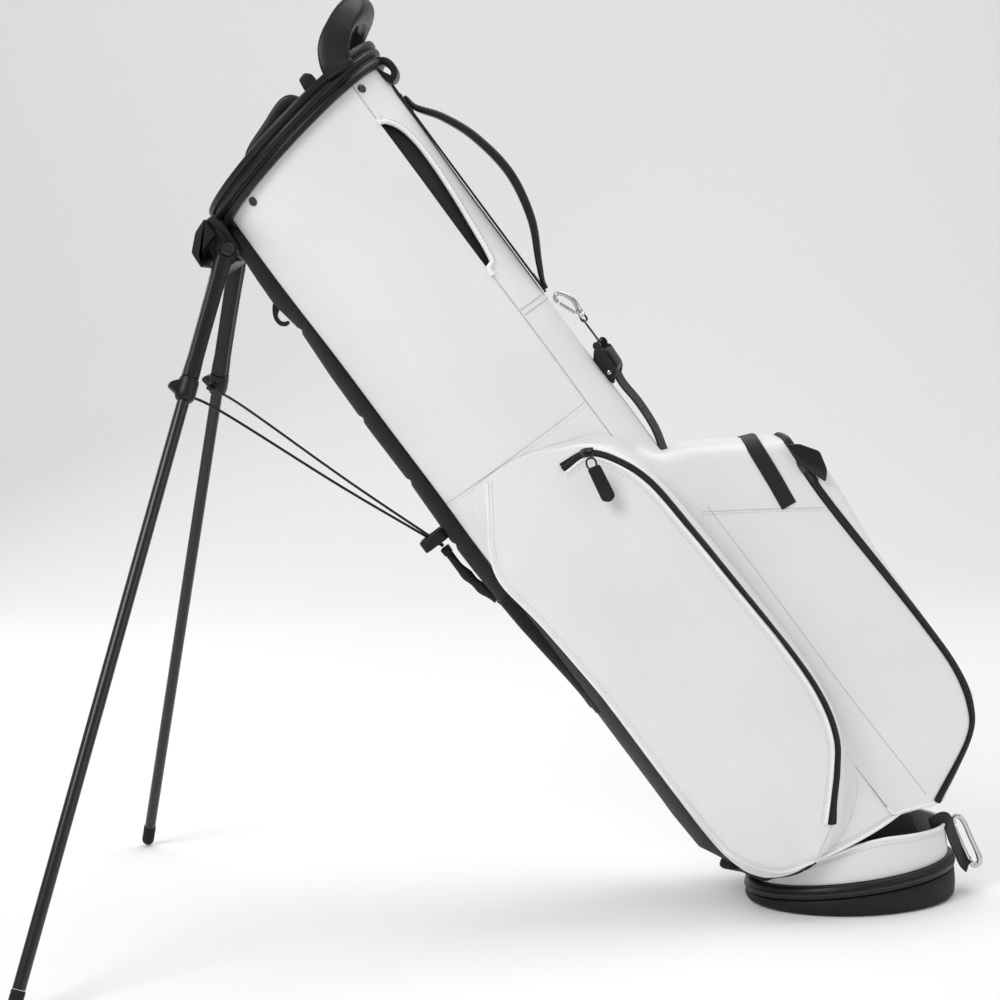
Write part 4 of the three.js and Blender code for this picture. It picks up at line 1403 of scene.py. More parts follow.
def build_lift_handle():
    """One moulding: two flat webs rise from the collar and close into a ribbed round grip."""
    arch = smooth(
        [(79, -71, 912), (80, -70, 922), (88, -66, 936), (104, -55, 949), (119, -34, 956), (126, 0, 957.5),
         (119, 34, 956), (104, 55, 949), (88, 66, 936), (80, 70, 922), (79, 71, 912)], 2.2,
    )
    depth = np.abs(arch[:, 1])
    open_out = ease((depth - 22) / 40)
    half_wide = 13.6 - 1.4 * open_out + 2.4 * ease((depth - 54) / 15)
    half_thin = 13.4 * (1 - open_out) + 4.2 * open_out
    count = 40
    angle = np.linspace(0, 2 * math.pi, count, endpoint=False)
    handle = Shape()
    ahead = unit(np.gradient(arch, axis=0))
    wide = np.array((-0.62, 0, 0.78))
    rows = []
    for point, tangent, a, b, share in zip(arch, ahead, half_wide, half_thin, open_out):
        w = unit(wide - np.dot(wide, tangent) * tangent)
        n = np.cross(tangent, w)
        n = n if n[2] < 0 else -n
        flute = 1.1 * (1 - share) * np.maximum(np.sin(angle), 0) ** 0.6 * np.cos(7 * (angle - math.pi / 2))
        power = 2.0 + 2.2 * share
        c, s = np.cos(angle), np.sin(angle)
        across = (a + flute) * np.sign(c) * np.abs(c) ** (2 / power)
        over = (b + flute) * np.sign(s) * np.abs(s) ** (2 / power)
        rows.append(point + across[:, None] * w + over[:, None] * n)
    handle.grid(np.array(rows), wrap=True, caps=True)
    make("lift_handle_grip", handle, "moulded_nylon_black", "bag", ["lift_handle"])


def build_dividers():
    spine, ball = -46.0, 36.0
    frame_shape = Shape()
    for v in (spine, ball):
        reach = 0.8 * 95.4 * math.sqrt(1 - ((v - MIDDLE) / 95.4) ** 2) - 2
        top = cut_height((RIM[0] + 13, RIM[1]), v)
        y = np.linspace(-reach, reach, 40)
        dip = 3.0 * np.cos(y / reach * math.pi / 2)
        path = np.stack([np.full(40, v), y, top - 19 - dip * 0.5], 1)
        frame_shape.sweep(path, oval(3.0, 18, 24, 5), (0, 0, 1))
    grip = smooth([(-43.5, 0, 890), (-42, 0, 905), (-33, 0, 914), (-8, 0, 923), (16, 0, 931), (26, 0, 927),
                   (30.5, 0, 912), (31, 0, 890)], 2)
    frame_shape.sweep(grip, oval(6.4, 5.4, 24, 3.2), (0, 1, 0))
    frame_shape.plate(rounded([(-43, 868), (34, 868), (34, 884), (-43, 884)], 2), -2.4, 2.4, 1)
    make("divider_top", frame_shape, "moulded_nylon_black", "bag", ["divider_frame"])
    sheets = {
        "divider_fabric_spine": ("divider_sheet_spine", spine, 61.0),
        "divider_fabric_ball": ("divider_sheet_ball", ball, 71.0),
    }
    t = np.linspace(93, 865, 90)[:, None]
    for name, (node, v, reach) in sheets.items():
        y = np.linspace(-reach, reach, 24)[None, :]
        held = np.cos(y / reach * math.pi / 2) * np.cos((t - 479) / 386 * math.pi / 2)
        slack = 1.8 * np.sin(t / 70 + y / 26) * held
        outer = np.stack(np.broadcast_arrays(v + slack + 0.5, y, t), -1)
        inner = np.stack(np.broadcast_arrays(v + slack - 0.5, y, t), -1)
        make(name, Shape().thick(outer, inner), "ballistic_nylon_black", "bag", [node])
    v = np.linspace(spine + 3, ball - 3, 16)[None, :]
    slack = 1.8 * np.sin(t / 80 + 0.7) * np.sin((v - spine) / (ball - spine) * math.pi)
    outer = np.stack(np.broadcast_arrays(v, slack + 0.5, t), -1)
    inner = np.stack(np.broadcast_arrays(v, slack - 0.5, t), -1)
    make(
        "divider_fabric_middle", Shape().thick(outer, inner), "ballistic_nylon_black", "bag",
        ["divider_sheet_middle"],
    )


def build_carry_handle():
    strip, handle = Shape(), Shape()
    t = np.linspace(642, 884, 90)
    ends = np.minimum(t - 642, 884 - t)
    path = np.stack([np.full(90, 109.6), 0 * t, t], 1)
    narrow = np.sqrt(np.clip(ends / 8, 0.15, 1))
    strip.sweep(path, band(28, 2.2, 20), (1, 0, 0), scale=(narrow, 1.0))
    make("handle_strip", strip, "webbing_black", "bag", ["handle_base_strip"])
    route = smooth([(112.6, 0, 868), (114.8, 0, 854), (130, 0, 831), (143, 0, 798), (149, 0, 752), (140, 0, 706),
                    (122, 0, 670), (113.4, 0, 652), (112.6, 0, 644)], 3)
    share = np.linspace(0, 1, len(route))
    belly = np.sin(math.pi * share) ** 0.5
    fullness = (0.86 + 0.14 * belly, 0.35 + 0.65 * belly)
    handle.sweep(route, oval(13, 4.4, 28, 3.2), (0.999, 0, 0.03), scale=fullness)
    grip = make("carry_handle_pad", handle, "waxed_leather_black", "bag", ["carry_handle"])
    ahead = unit(np.gradient(route, axis=0))
    out = unit(np.cross((0, 1, 0), ahead))
    out = out * np.sign(out[:, :1] + 1e-9)
    keep = slice(6, len(route) - 6)
    lines = []
    for side in (-1, 1):
        lift = (0.35 + 0.65 * belly) * 4.1
        row = route + (0, side * 9.6, 0) + out * lift[:, None] * 0.93
        lines.append((row[keep], out[keep]))
    for low, high in ((646, 662), (854, 872)):
        square = [(-9, low), (9, low), (9, high), (-9, high), (-9, low)]
        flat = evenly(square, 2)
        spots = np.stack([np.full(len(flat), 111.1), flat[:, 0], flat[:, 1]], 1)
        lines.append((spots, np.broadcast_to((1.0, 0, 0), spots.shape)))
    stitch = stitch_piece(mm(sizes().stitch), 0.7)
    repeated("handle_stitches", lines, stitch, sizes().stitch_step, "thread_black", "bag", 0.05)
    discard(stitch)


# ---------------------------------------------------------------- spine pad and leg linkage


def build_spine():
    """The spine's padding runs out in two narrow cushions beside the push rod's slot."""
    rows, columns = 190, 36
    t = np.linspace(408, 868, rows)[:, None]
    s = np.linspace(-1, 1, columns)[None, :]
    half = 27.0 * np.clip(ease((t - 400) / 34), 0.3, 1) * np.clip(ease((880 - t) / 20), 0.7, 1)
    y = half * s
    skin = MIDDLE - (WIDTH + 0.4) * np.sqrt(1 - (y / DEPTH) ** 2)
    profile = np.interp(
        t, [408, 428, 470, 506, 574, 637, 700, 748, 758, 786, 812, 846, 868],
        [3, 10.5, 12.4, 12.8, 10.8, 11.6, 10.4, 7.8, 8, 12.4, 11.6, 9.5, 6],
    )
    crown = (1 - np.abs(s) ** 3.2) ** 0.8
    channel = np.exp(-(((y - 0) / 1.6) ** 2)) * 1.6
    for height in (500, 575, 650, 752):
        channel = channel + 2.2 * np.exp(-(((t - height) / 2.4) ** 2))
    front = skin - np.maximum(profile * crown - channel * crown, 0.3)
    outer = np.stack(np.broadcast_arrays(np.maximum(front, -105.6), y, t), -1)
    inner = np.stack(np.broadcast_arrays(skin - 0.1, y, t), -1)
    padding = Shape().thick(outer, inner)
    t = np.linspace(290, 430, 60)[:, None]
    s = np.linspace(-1, 1, 18)[None, :]
    stand = np.interp(t, [290, 330, 364, 400, 430], [0.3, 3.4, 6.8, 10.4, 12])
    for side in (-1, 1):
        y = 18.0 * side + 8.6 * s
        skin = MIDDLE - (WIDTH + 0.4) * np.sqrt(1 - (y / DEPTH) ** 2)
        front = skin - np.maximum(stand * (1 - np.abs(s) ** 3.2) ** 0.8, 0.3)
        outer = np.stack(np.broadcast_arrays(np.maximum(front, -105.6), y, t), -1)
        inner = np.stack(np.broadcast_arrays(skin - 0.1, y, t), -1)
        padding.thick(outer, inner)
    pad = make("spine_padding", padding, "spacer_mesh_black", "bag", ["spine_pad"])
    keeper = rounded([(-128.4, -18.4), (-104.9, -18.4), (-104.9, 18.4), (-128.4, 18.4)], 5, 5)
    line = np.stack([keeper[:, 0], keeper[:, 1], np.full(len(keeper), 516.0)], 1)
    loop = Shape().sweep(line, oval(1.5, 6.0, 20, 4), (0, 0, 1), closed=True)
    make("rod_keeper_loop", loop, "moulded_rubber_black", "bag", ["rod_keeper"])
    hook = smooth([(-102.6, 789), (-107.6, 785.6), (-112.6, 777), (-112.8, 769), (-109, 764.2), (-104.6, 763.8),
                   (-103.4, 766.6), (-106.4, 767.8), (-109.2, 771), (-108.8, 776.4), (-104, 781)], 1, True)
    claw = Shape().plate(hook, -5, 5, 0.8)
    make("umbrella_claw", claw, "moulded_nylon_black", "bag", ["umbrella_hook"])


def hinge_line(side):
    return np.array((side * math.sin(SPLAY), math.cos(SPLAY), 0))


def build_bracket():
    bracket = Shape()
    roof = rounded([(-104.4, 886), (-119, 881), (-133.5, 868), (-134.7, 851.5), (-131.2, 851.5), (-127.5, 862),
                    (-104.4, 868)], 2.2)
    bracket.plate(roof, -44, 44, 1.6)
    back = rounded([(-92.6, 886), (-105.4, 886.5), (-105.4, 846), (-96, 846)], 2)
    bracket.plate(back, -27, 27, 1.4)
    plan = rounded([(-104.6, -27.5), (-119.5, -35), (-127, -20), (-127, 20), (-119.5, 35), (-104.6, 27.5)], 3)
    levels = [(-1.2, 838), (0, 839.2), (0, 868)]
    rings = []
    for shrink, t in levels:
        middle = np.array((-116, 0))
        ring = middle + (plan - middle) * (1 + shrink / 22)
        rings.append(np.stack([ring[:, 0], ring[:, 1], np.full(len(ring), float(t))], 1))
    bracket.grid(np.array(rings), wrap=True, caps=True)
    for side in (-1, 1):
        ear = rounded([(-100, 872), (-113, 875), (-119, 862), (-117, 845), (-107, 838), (-100, 843)], 4)
        low, high = sorted((side * 28.0, side * 31.0))
        bracket.plate(ear, low, high, 1)
    make("leg_housing", bracket, "moulded_nylon_black", "bag", ["leg_bracket"])
    for name, side in SIDES.items():
        centre = np.array((PIVOT[0], side * PIVOT[1], PIVOT[2]))
        out = hinge_line(side) * side
        profile = [
            (3, -18), (3, 8.4), (6.4, 8.5), (6.6, 9.4), (6.4, 10.8), (5.6, 11.6), (3.4, 11.7), (3.0, 10.6),
            (0, 10.4),
        ]
        bolt = Shape().lathe(profile, centre, out, 36)
        make(f"pivot_screw_{name}", bolt, "black_nickel_plate", "bag", [f"pivot_bolt_{name}"])


FOOT_RADIUS = 6.6
FOOT_LENGTH = 24


def leg_reach():
    """Distance down the leg's axis from its pivot to the middle of its round foot."""
    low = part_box("leg_foot_near")[0].z
    pivot = Vector(from_bag([(PIVOT[0], -PIVOT[1], PIVOT[2])])[0])
    line = Vector(from_bag(leg_to_bag(-1, [(0, 0, -100)]))[0]) - pivot
    return mm((pivot.z - low - FOOT_RADIUS / 1000) / -line.normalized().z)


def build_leg(name, side):
    place = lambda points: from_bag(leg_to_bag(side, points))
    reach = leg_reach()
    body = f"leg_{name}"
    knuckle = [(6.2, -8), (8.4, -8), (9, -7.4), (9, 7.4), (8.4, 8), (6.2, 8)]
    sleeve = Shape().lathe(knuckle, (0, 0, 0), (0, 1, 0), 40)
    stations = np.array([2, -6, -14, -24, -40, -80, -108, -118, -127.6])
    path = np.stack([0 * stations, 0 * stations, stations], 1)
    count = 48
    angle = np.linspace(0, 2 * math.pi, count, endpoint=False)
    groove = 1.1 * np.exp(-((np.abs(np.sin(angle)) - 0.0) / 0.22) ** 2)
    section = oval(8.4, 8.0, count, 3.0) * (1 - groove / 8.4)[:, None]
    width = np.array([0.86, 0.95, 1.0, 0.97, 0.93, 0.9, 0.9, 0.96, 0.98])
    sleeve.sweep(path, section, (0, 1, 0), scale=(width, width))
    make(f"{body}_upper", sleeve, "moulded_nylon_black", body, [f"leg_sleeve_{name}"], place)
    top, end = CLAMP
    clamp = Shape().lathe(
        [(8.4, -top - 0.4), (9.2, -top - 1), (9.6, -top - 4), (9.6, -end + 7), (9, -end + 3), (7.4, -end + 0.2)],
        (0, 0, 0), (0, 0, 1), 40,
    )
    ear = rounded([(-7, -top - 3), (-13, -top - 6), (-17, -top - 9.5), (-17.5, -top - 13), (-14, -top - 15),
                   (-10, -top - 17), (-6, -end + 2)], 2.5)
    clamp.plate(ear, -4, 4, 1.4)
    stud = [(0, 3), (4.6, 3), (4.6, 12), (4.0, 13), (2.2, 13), (2.0, 12), (0, 12)]
    eye = Shape().lathe(stud, (0, 0, -139), (0, -1, 0), 28)
    clamp.join(eye)
    make(f"{body}_clamp", clamp, "moulded_nylon_black", body, [f"leg_clamp_{name}"], place)
    tube_end = reach + FOOT_RADIUS - FOOT_LENGTH
    tube = Shape().lathe([(5.7, -end - 0.4), (5.8, -end - 1), (5.8, -tube_end)], (0, 0, 0), (0, 0, 1), 48)
    make(f"{body}_tube", tube, "composite_tube_lacquered", body, [f"leg_tube_{name}"], place)
    arc = np.linspace(0, math.pi / 2, 10)
    ball = [(FOOT_RADIUS * math.cos(a), -reach - FOOT_RADIUS * math.sin(a)) for a in arc]
    rise = np.linspace(-tube_end - 0.4, -reach + 1, 16)
    ribs = [(FOOT_RADIUS - 0.5 * (i % 2), z) for i, z in enumerate(rise)]
    foot = Shape().lathe([(5.9, -tube_end - 0.3)] + ribs + ball, (0, 0, 0), (0, 0, 1), 36)
    make(f"{body}_foot", foot, "moulded_rubber_black", body, [f"leg_foot_{name}"], place)


def build_linkage():
    for name, side in SIDES.items():
        eye = leg_to_bag(side, [(0, -16.5, -sum(CLAMP) / 2)])[0]
        yoke = np.array((YOKE[0], side * YOKE[1], YOKE[2] + 1))
        bend = eye + (yoke - eye) * 0.17 + (0, 0, 10)
        mid = yoke + (eye - yoke) * 0.4
        wire = Shape().tube(smooth([eye, bend, mid, yoke], 3), 1.3, (0, 1, 0.2), sides=12)
        turned = unit(bend - eye)
        wire.lathe([(0, -3), (2.6, -3), (2.6, 1.5), (1.5, 4), (0, 4)], eye, turned, 20)
        make(
            f"spring_wire_{name}", wire, "coated_wire_black", f"wire_{name}",
            [f"leg_wire_{name}"],
        )
    boot = Shape()
    block = rounded([(-118, 496), (-110, 496), (-109.6, 504.4), (-118.4, 504.4)], 1.6)
    boot.plate(block, -9, 9, 1.6)
    route = smooth([(-114, 0, 497), (-113.6, 0, 478), (-109.6, 0, 455), (-103.6, 0, 433)], 1.2)
    share = np.linspace(0, 1, len(route))
    fat = 0.92 + 0.42 * np.exp(-(((share - 0.42) / 0.11) ** 2)) + 0.42 * np.exp(-(((share - 0.72) / 0.11) ** 2))
    boot.tube(route, 4.2, (0, 1, 0), sides=24, scale=(fat, fat))
    make("rod_boot_rubber", boot, "moulded_rubber_black", "push_rod", ["rod_boot"])
    rod = smooth([(-103.4, 0, 432.4), (-95, 0, 404), (-79, 0, 366), (-66, 0, 332), (-62, 0, 300), (-62, 0, 200),
                  (-62, 0, 86)], 4)
    rod_wire = Shape().tube(rod, 2.0, (0, 1, 0), sides=16)
    make("push_rod_wire", rod_wire, "coated_wire_black", "push_rod", ["push_rod"])


# ---------------------------------------------------------------- strap hardware


def build_strap_hardware():
    strap = Shape()
    turn = turn_about("Z", math.radians(-20))

    def turned(shape):
        centre = np.array((117.0, 0, 0))
        shape.points = [(p - centre) @ turn.T + centre for p in shape.points]
        return shape

    route = smooth([(107.6, 0, 444), (111.6, 0, 458), (116.6, 0, 478), (118.4, 0, 505), (117.2, 0, 530),
                    (120.4, 0, 548), (121.6, 0, 560)], 2.5)
    strap.sweep(route, band(20, 2.4, 20), (0.94, -0.34, 0))
    make("strap_webbing", strap, "webbing_black", "bag", ["lower_strap"])
    buckle = Shape()
    outline = rounded(
        [(110.6, 563), (118.4, 571.6), (126.6, 566), (124.6, 543), (113.4, 533), (110.8, 540)], 2.5
    )
    for side in (-1, 1):
        low, high = sorted((side * 10.2, side * 13.0))
        buckle.plate(outline, low, high, 1)
        eye = Shape().lathe([(3.2, -1.2), (3.8, -0.6), (3.8, 0.6), (3.2, 1.2)], (0, 0, 0), (0, 1, 0), 24)
        eye.points = [p * (1, 1, 1.25) + (122, side * 11.4, 571.4) for p in eye.points]
        buckle.join(eye)
    for spot in ((117, 556), (116, 543)):
        buckle.lathe([(2.4, 0), (2.4, 22)], (spot[0], -11, spot[1]), (0, 1, 0), 20)
    buckle.lathe([(1.7, 0), (1.7, 22)], (122, -11, 573.6), (0, 1, 0), 20)
    face = rounded([(122.4, 566.5), (127.6, 563), (126.6, 546), (122, 541), (120.8, 546), (123, 560)], 1.4)
    buckle.plate(face, -9.6, 9.6, 0.8)
    make("strap_buckle_body", turned(buckle), "moulded_nylon_black", "bag", ["strap_buckle"])
    rivets = Shape()
    for side in (-1, 1):
        head = [(0, 0), (2.2, 0), (2.0, 0.9), (1.2, 1.4), (0, 1.5)]
        rivets.lathe(head, (117, side * 12.9, 545), (0, side, 0), 20)
    make("buckle_rivets", turned(rivets), "nickel_plate_polished", "bag")
    low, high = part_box("strap_ring")
    middle = to_bag(np.array([(low + high) / 2]))[0]
    ring = Shape().tube(aim_ring(13.4, 6.6, middle, (0, 0, 1), (1, 0, 0)), 0.95, (1, 0, 0), True, 12)
    eye = aim_ring(3.2, 2.6, middle + (1.2, 0, 14.4), (0, 0, 1), (0, 1, 0))
    ring.tube(eye, 1.0, (0, 1, 0), True, 10)
    make("strap_ring_wire", ring, "black_nickel_plate", "strap_ring", ["strap_ring"])
    hook = Shape().lathe(
        [(1.6, 0), (3.6, 0.6), (3.8, 2.4), (3.0, 3.4), (3.0, 4.6), (3.7, 5.4), (3.7, 7.4), (2.6, 8.6), (0, 8.6)],
        (124, 0, 602), (0, 0, 1), 28,
    )
    curl = smooth([(124, 0, 609), (125.6, 0, 614), (125.4, 0, 622), (121.6, 0, 630.6), (116.4, 0, 634.2),
                   (112.8, 0, 631.4), (113.2, 0, 627)], 0.9)
    share = np.linspace(0, 1, len(curl))
    hook.tube(curl, 2.3, (0, 1, 0), sides=16, scale=(1.15 - 0.35 * share, 1.25 - 0.45 * share))
    hook.lathe([(0, 0), (1.3, 0), (1.5, 0.6), (1.3, 1.2), (0, 1.2)], (127, 0, 618), (1, 0, 0), 14)
    make("snap_hook_body", hook, "nickel_plate_polished", "snap_hook", ["snap_hook"])
    gate = Shape().tube([(120.4, 0, 609.2), (117, 0, 617.4), (113.8, 0, 625.6)], 1.5, (0, 1, 0), sides=14)
    make("snap_hook_latch", gate, "nickel_plate_polished", "snap_gate", ["snap_hook_gate"])


# ---------------------------------------------------------------- base


def base_ring(radius_x, radius_y, levels, segments=120):
    """Oval rings whose heights follow slanted planes: each level is (offset, height, slope)."""
    angle = np.linspace(0, 2 * math.pi, segments, endpoint=False)
    rows = []
    for offset, height, slope in levels:
        x = (radius_x + offset) * np.cos(angle)
        rows.append(np.stack([x, (radius_y + offset) * np.sin(angle), height + slope * x], 1))
    return np.array(rows)


def ring_line(radius_x, radius_y, height, slope, segments=150):
    line = base_ring(radius_x, radius_y, [(0, height, slope)], segments)[0]
    out = unit(line * (1 / radius_x**2, 1 / radius_y**2, 0))
    return line, out


def cuff_height(share):
    """Heights round the cuff: it starts on the band's slope and ends below the bag's hem."""
    x = oval(93, 73, 120)[:, 0]
    low = 31.6 + 0.1 * x
    top = 66 + 0.41 * x
    crest = 71 - 0.02 * x
    top = np.minimum(top, crest) - 2.5 * np.exp(-(((top - crest) / 5) ** 2))
    return low + (np.maximum(top, low + 4) - low) * share


def build_base():
    sole = base_ring(
        100, 80, [(-9, 0, 0), (-4.5, 0, 0), (-2.2, 0.5, 0), (-0.6, 1.8, 0.004), (0.2, 4, 0.012), (0.8, 9, 0.04),
                  (0.4, 15.5, 0.085), (-0.6, 17.6, 0.098), (-2.2, 18.5, 0.1), (-12, 18.5, 0.1)],
    )
    make("sole_boot", Shape().grid(sole, wrap=True, caps=True), "moulded_rubber_black", "base",
         ["base_sole"], from_ground)
    rim = base_ring(
        101, 81, [(-12.6, 19.2, 0.1), (-1.8, 19.2, 0.1), (-0.4, 20, 0.1), (0.1, 22, 0.1), (0.1, 25, 0.1),
                  (-0.9, 25.7, 0.1), (-0.9, 26.4, 0.1), (-0.3, 27, 0.1), (-1.2, 29.6, 0.1), (-2.8, 30.9, 0.1),
                  (-5, 31.1, 0.1), (-12.6, 31.1, 0.1), (-12.6, 19.2, 0.1)],
    )
    shape = Shape()
    shape.grid(np.concatenate([rim.transpose(1, 0, 2), rim.transpose(1, 0, 2)[:1]]), wrap=False)
    make("base_band", shape, "waxed_leather_black", "base", ["base_rim"], from_ground)
    share = (0.0, 0.06, 0.25, 0.5, 0.75, 0.93, 1.0)
    swell_out = (1.2, 1.5, 1.2, 0.7, 0.3, 0.1, -0.8)
    walls = [(out, cuff_height(s)) for out, s in zip(swell_out, share)]
    walls += [(-3, cuff_height(s)) for s in share[::-1]]
    rings = [np.concatenate([oval(93 + out, 73 + out, 120), height[:, None]], 1) for out, height in walls]
    cuff = np.array(rings)
    cuff = np.concatenate([cuff, cuff[:1]])
    shape = Shape()
    shape.grid(np.concatenate([cuff.transpose(1, 0, 2), cuff.transpose(1, 0, 2)[:1]]), wrap=False)
    make("base_cuff_leather", shape, "coated_leather_white", "base", ["base_cuff"], from_ground)
    line = np.concatenate([oval(92, 72, 120), cuff_height(1.0)[:, None]], 1)
    piping = Shape().tube(line, 1.7, (0, 0, 1), True, 14)
    make("cuff_piping", piping, "piping_vinyl_white", "base", (), from_ground)
    lines = []
    row = np.concatenate([oval(93.6, 73.6, 120), cuff_height(1.0)[:, None] - 5], 1)
    lines.append((row, unit(row * (1, 1.5, 0))))
    stitch = stitch_piece(mm(sizes().stitch), 0.8)
    repeated(
        "cuff_stitches", lines, stitch, sizes().stitch_step, "thread_white", "base", 0.05,
        from_ground,
    )
    row, out = ring_line(101.3, 81.3, 23.6, 0.1)
    repeated(
        "band_stitches", [(row, out)], stitch, sizes().stitch_step, "thread_black", "base", 0.05,
        from_ground,
    )
    discard(stitch)
    looks = {"base_frame": "moulded_nylon_black"}
    for name in SIDES:
        looks[f"tilt_pin_{name}"] = "black_nickel_plate"
        looks[f"tilt_arm_{name}"] = "black_nickel_plate"
        looks[f"spine_stay_{name}"] = "composite_tube_lacquered"
    for node, finish_name in looks.items():
        piece = frame["nodes"][node]
        piece.data.materials.clear()
        piece.data.materials.append(finish(finish_name))


def build_gusset():
    """The folding sleeve between the base and the bag: one fixed mesh lofted from the base's ring up to the tilted
    bag's hem.
    """
    segments, rows = 120, 26
    angle = np.linspace(0, 2 * math.pi, segments, endpoint=False)
    low = np.stack([88 * np.cos(angle), 68 * np.sin(angle), 23.5 + 8.8 * np.cos(angle)], 1) / 1000
    v = MIDDLE + 93 * np.cos(angle)
    high = from_bag(np.stack([v, 73 * np.sin(angle), cut_height((HEM[0] + 12, HEM[1]), v)], 1))
    share = np.linspace(0, 1, rows)[:, None, None]
    sheet = low * (1 - share) + high * share
    centre = sheet.mean(1, keepdims=True)
    belly = np.sin(math.pi * share)
    ripple = np.sin(share * 14 + 3 * np.cos(angle * 3)[None, :, None])
    fold = 1 - 0.07 * belly - 0.012 * ripple * belly
    sheet = centre + (sheet - centre) * fold
    inner = centre + (sheet - centre) * 0.985
    loop = np.concatenate([sheet, inner[::-1], sheet[:1]]) * 1000
    shape = Shape().grid(loop, wrap=True)
    name = "tilt_gusset"
    piece = new_object(name, to_mesh(name, shape, from_ground, 60))
    piece.data.materials.append(finish("ballistic_nylon_black"))
    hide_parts("base_gusset")
    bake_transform(piece)


def build_tether():
    strap = Shape().sweep(
        smooth([(76, -26, 69), (86, -21, 72.6), (93.5, -16, 70), (98, -12, 57), (104.5, -6, 41), (109.5, -2, 30),
                (115, 0, 24)], 2),
        band(18, 1.8, 20), (0.8, -0.6, 0.15),
    )
    make("tether_webbing", strap, "webbing_black", "base", ["tether_strap"], from_ground)
    turn = math.radians(22)
    origin = np.array((122.5, 0, 25.5))

    def clip_place(points):
        x, y, z = np.asarray(points, float).reshape(-1, 3).T
        c, s = math.cos(turn), math.sin(turn)
        turned = np.stack([x * c - z * s, y, x * s + z * c], 1)
        return from_ground(turned + origin)

    body = Shape()
    curl = smooth([(-4.6, 0, 3), (-2.5, 0, -1.6), (2.2, 0, -1.2), (5, 0, 5), (5, 0, 24), (5, 0, 42), (2, 0, 49.6),
                   (-2.4, 0, 49), (-4.6, 0, 44)], 1.2)
    share = np.linspace(0, 1, len(curl))
    fat = 1 + 0.25 * np.exp(-(((share - 0.18) / 0.1) ** 2))
    body.sweep(curl, oval(2.4, 2.6, 20, 2.6), (0, 1, 0), scale=(fat, fat))
    make("tether_clip_body", body, "nickel_plate_polished", "tether_clip", ["tether_clip"], clip_place)
    gate = Shape().tube([(-4.9, 0, 6.5), (-5, 0, 24), (-4.9, 0, 41.5)], 1.8, (0, 1, 0), sides=14)
    make(
        "tether_clip_latch", gate, "nickel_plate_polished", "tether_gate", ["tether_clip_gate"],
        clip_place,
    )


# ---------------------------------------------------------------- stage


def build_stage():
    floor = Shape()
    across = np.linspace(-6000, 6000, 9)
    side_view = [(-4000, -1)]
    for a in np.linspace(0, math.pi / 2, 18):
        side_view.append((2200 + 1400 * math.sin(a), 1399 - 1400 * math.cos(a)))
    side_view.append((3600, 6000))
    rows = [np.stack([across, np.full(9, float(y)), np.full(9, float(z))], 1) for y, z in side_view]
    floor.grid(np.array(rows))
    mesh = to_mesh("studio_floor", floor, from_ground, 80)
    backdrop = new_object("studio_floor", mesh)
    material, tree, shader = new_material("studio_paper", linear("#FBFBFB"), 0.9)
    place = place_of(tree)
    vary_roughness(tree, shader, place, 3.0, 0.85, 0.95)
    mesh.materials.append(material)
    scene = bpy.context.scene
    world = bpy.data.worlds.new("studio_air")
    world.use_nodes = True
    world.node_tree.nodes["Background"].inputs["Color"].default_value = (1, 1, 1, 1)
    world.node_tree.nodes["Background"].inputs["Strength"].default_value = 0.4
    scene.world = world
    lights = (
        ("key_softbox", (-1.9, -2.0, 2.5), 1.8, 50),
        ("fill_softbox", (2.4, -1.6, 1.2), 2.0, 12),
        ("top_softbox", (0.6, 0.5, 3.2), 2.4, 38),
        ("rim_softbox", (-1.8, 2.0, 1.6), 1.6, 14),
    )
    for name, spot, size, power in lights:
        data = bpy.data.lights.new(name, "AREA")
        data.shape = "DISK"
        data.size = size
        data.energy = power
        light = bpy.data.objects.new(name, data)
        light.location = spot
        light.rotation_euler = (Vector((-0.25, 0, 0.45)) - Vector(spot)).to_track_quat("-Z", "Y").to_euler()
        scene.collection.objects.link(light)
    scene.view_settings.view_transform = "Standard"
    scene.view_settings.look = "None"
    camera_data = bpy.data.cameras.new("camera")
    camera_data.sensor_width = 36
    camera_data.lens = 75.6
    camera_data.clip_end = 100
    camera = bpy.data.objects.new("camera", camera_data)
    yaw, pitch, roll = (math.radians(a) for a in (-1.92, 5.01, 2.52))
    look = Vector((math.sin(yaw) * math.cos(pitch), math.cos(yaw) * math.cos(pitch), -math.sin(pitch)))
    right = Vector((math.cos(yaw), -math.sin(yaw), 0))
    above = right.cross(look)
    tilted_right = right * math.cos(roll) - above * math.sin(roll)
    tilted_above = right * math.sin(roll) + above * math.cos(roll)
    turn = Matrix((tilted_right, tilted_above, -look)).transposed().to_4x4()
    camera.matrix_world = Matrix.Translation((-0.25505, -2.0037, 0.57194)) @ turn
    scene.collection.objects.link(camera)
    scene.camera = camera


# ---------------------------------------------------------------- the add-on


class BAG_OT_stage(bpy.types.Operator):
    """Adds the floor, the lights and the camera"""

    bl_idname = "stand_bag.stage"
    bl_label = "Stage"

    def execute(self, context):
        build_stage()
        return {"FINISHED"}


class BAG_OT_shell(bpy.types.Operator):
    """Sews the shell's panels, pockets, piping, zips and stitches"""

    bl_idname = "stand_bag.shell"
    bl_label = "Shell and pockets"

    def execute(self, context):
        build_shell()
        stitches = build_shell_seams()
        side_skins = build_side_pockets()
        ball_skin = build_ball_pocket()
        coils, pocket_stitches = build_pocket_trim(side_skins, ball_skin)
        build_zip_hardware(side_skins, ball_skin)
        build_repeats(coils, stitches + pocket_stitches)
        return {"FINISHED"}


class BAG_OT_top(bpy.types.Operator):
    """Moulds the collar, the lift handle and the dividers"""

    bl_idname = "stand_bag.top"
    bl_label = "Collar and dividers"

    def execute(self, context):
        build_collar()
        build_lift_handle()
        build_dividers()
        return {"FINISHED"}


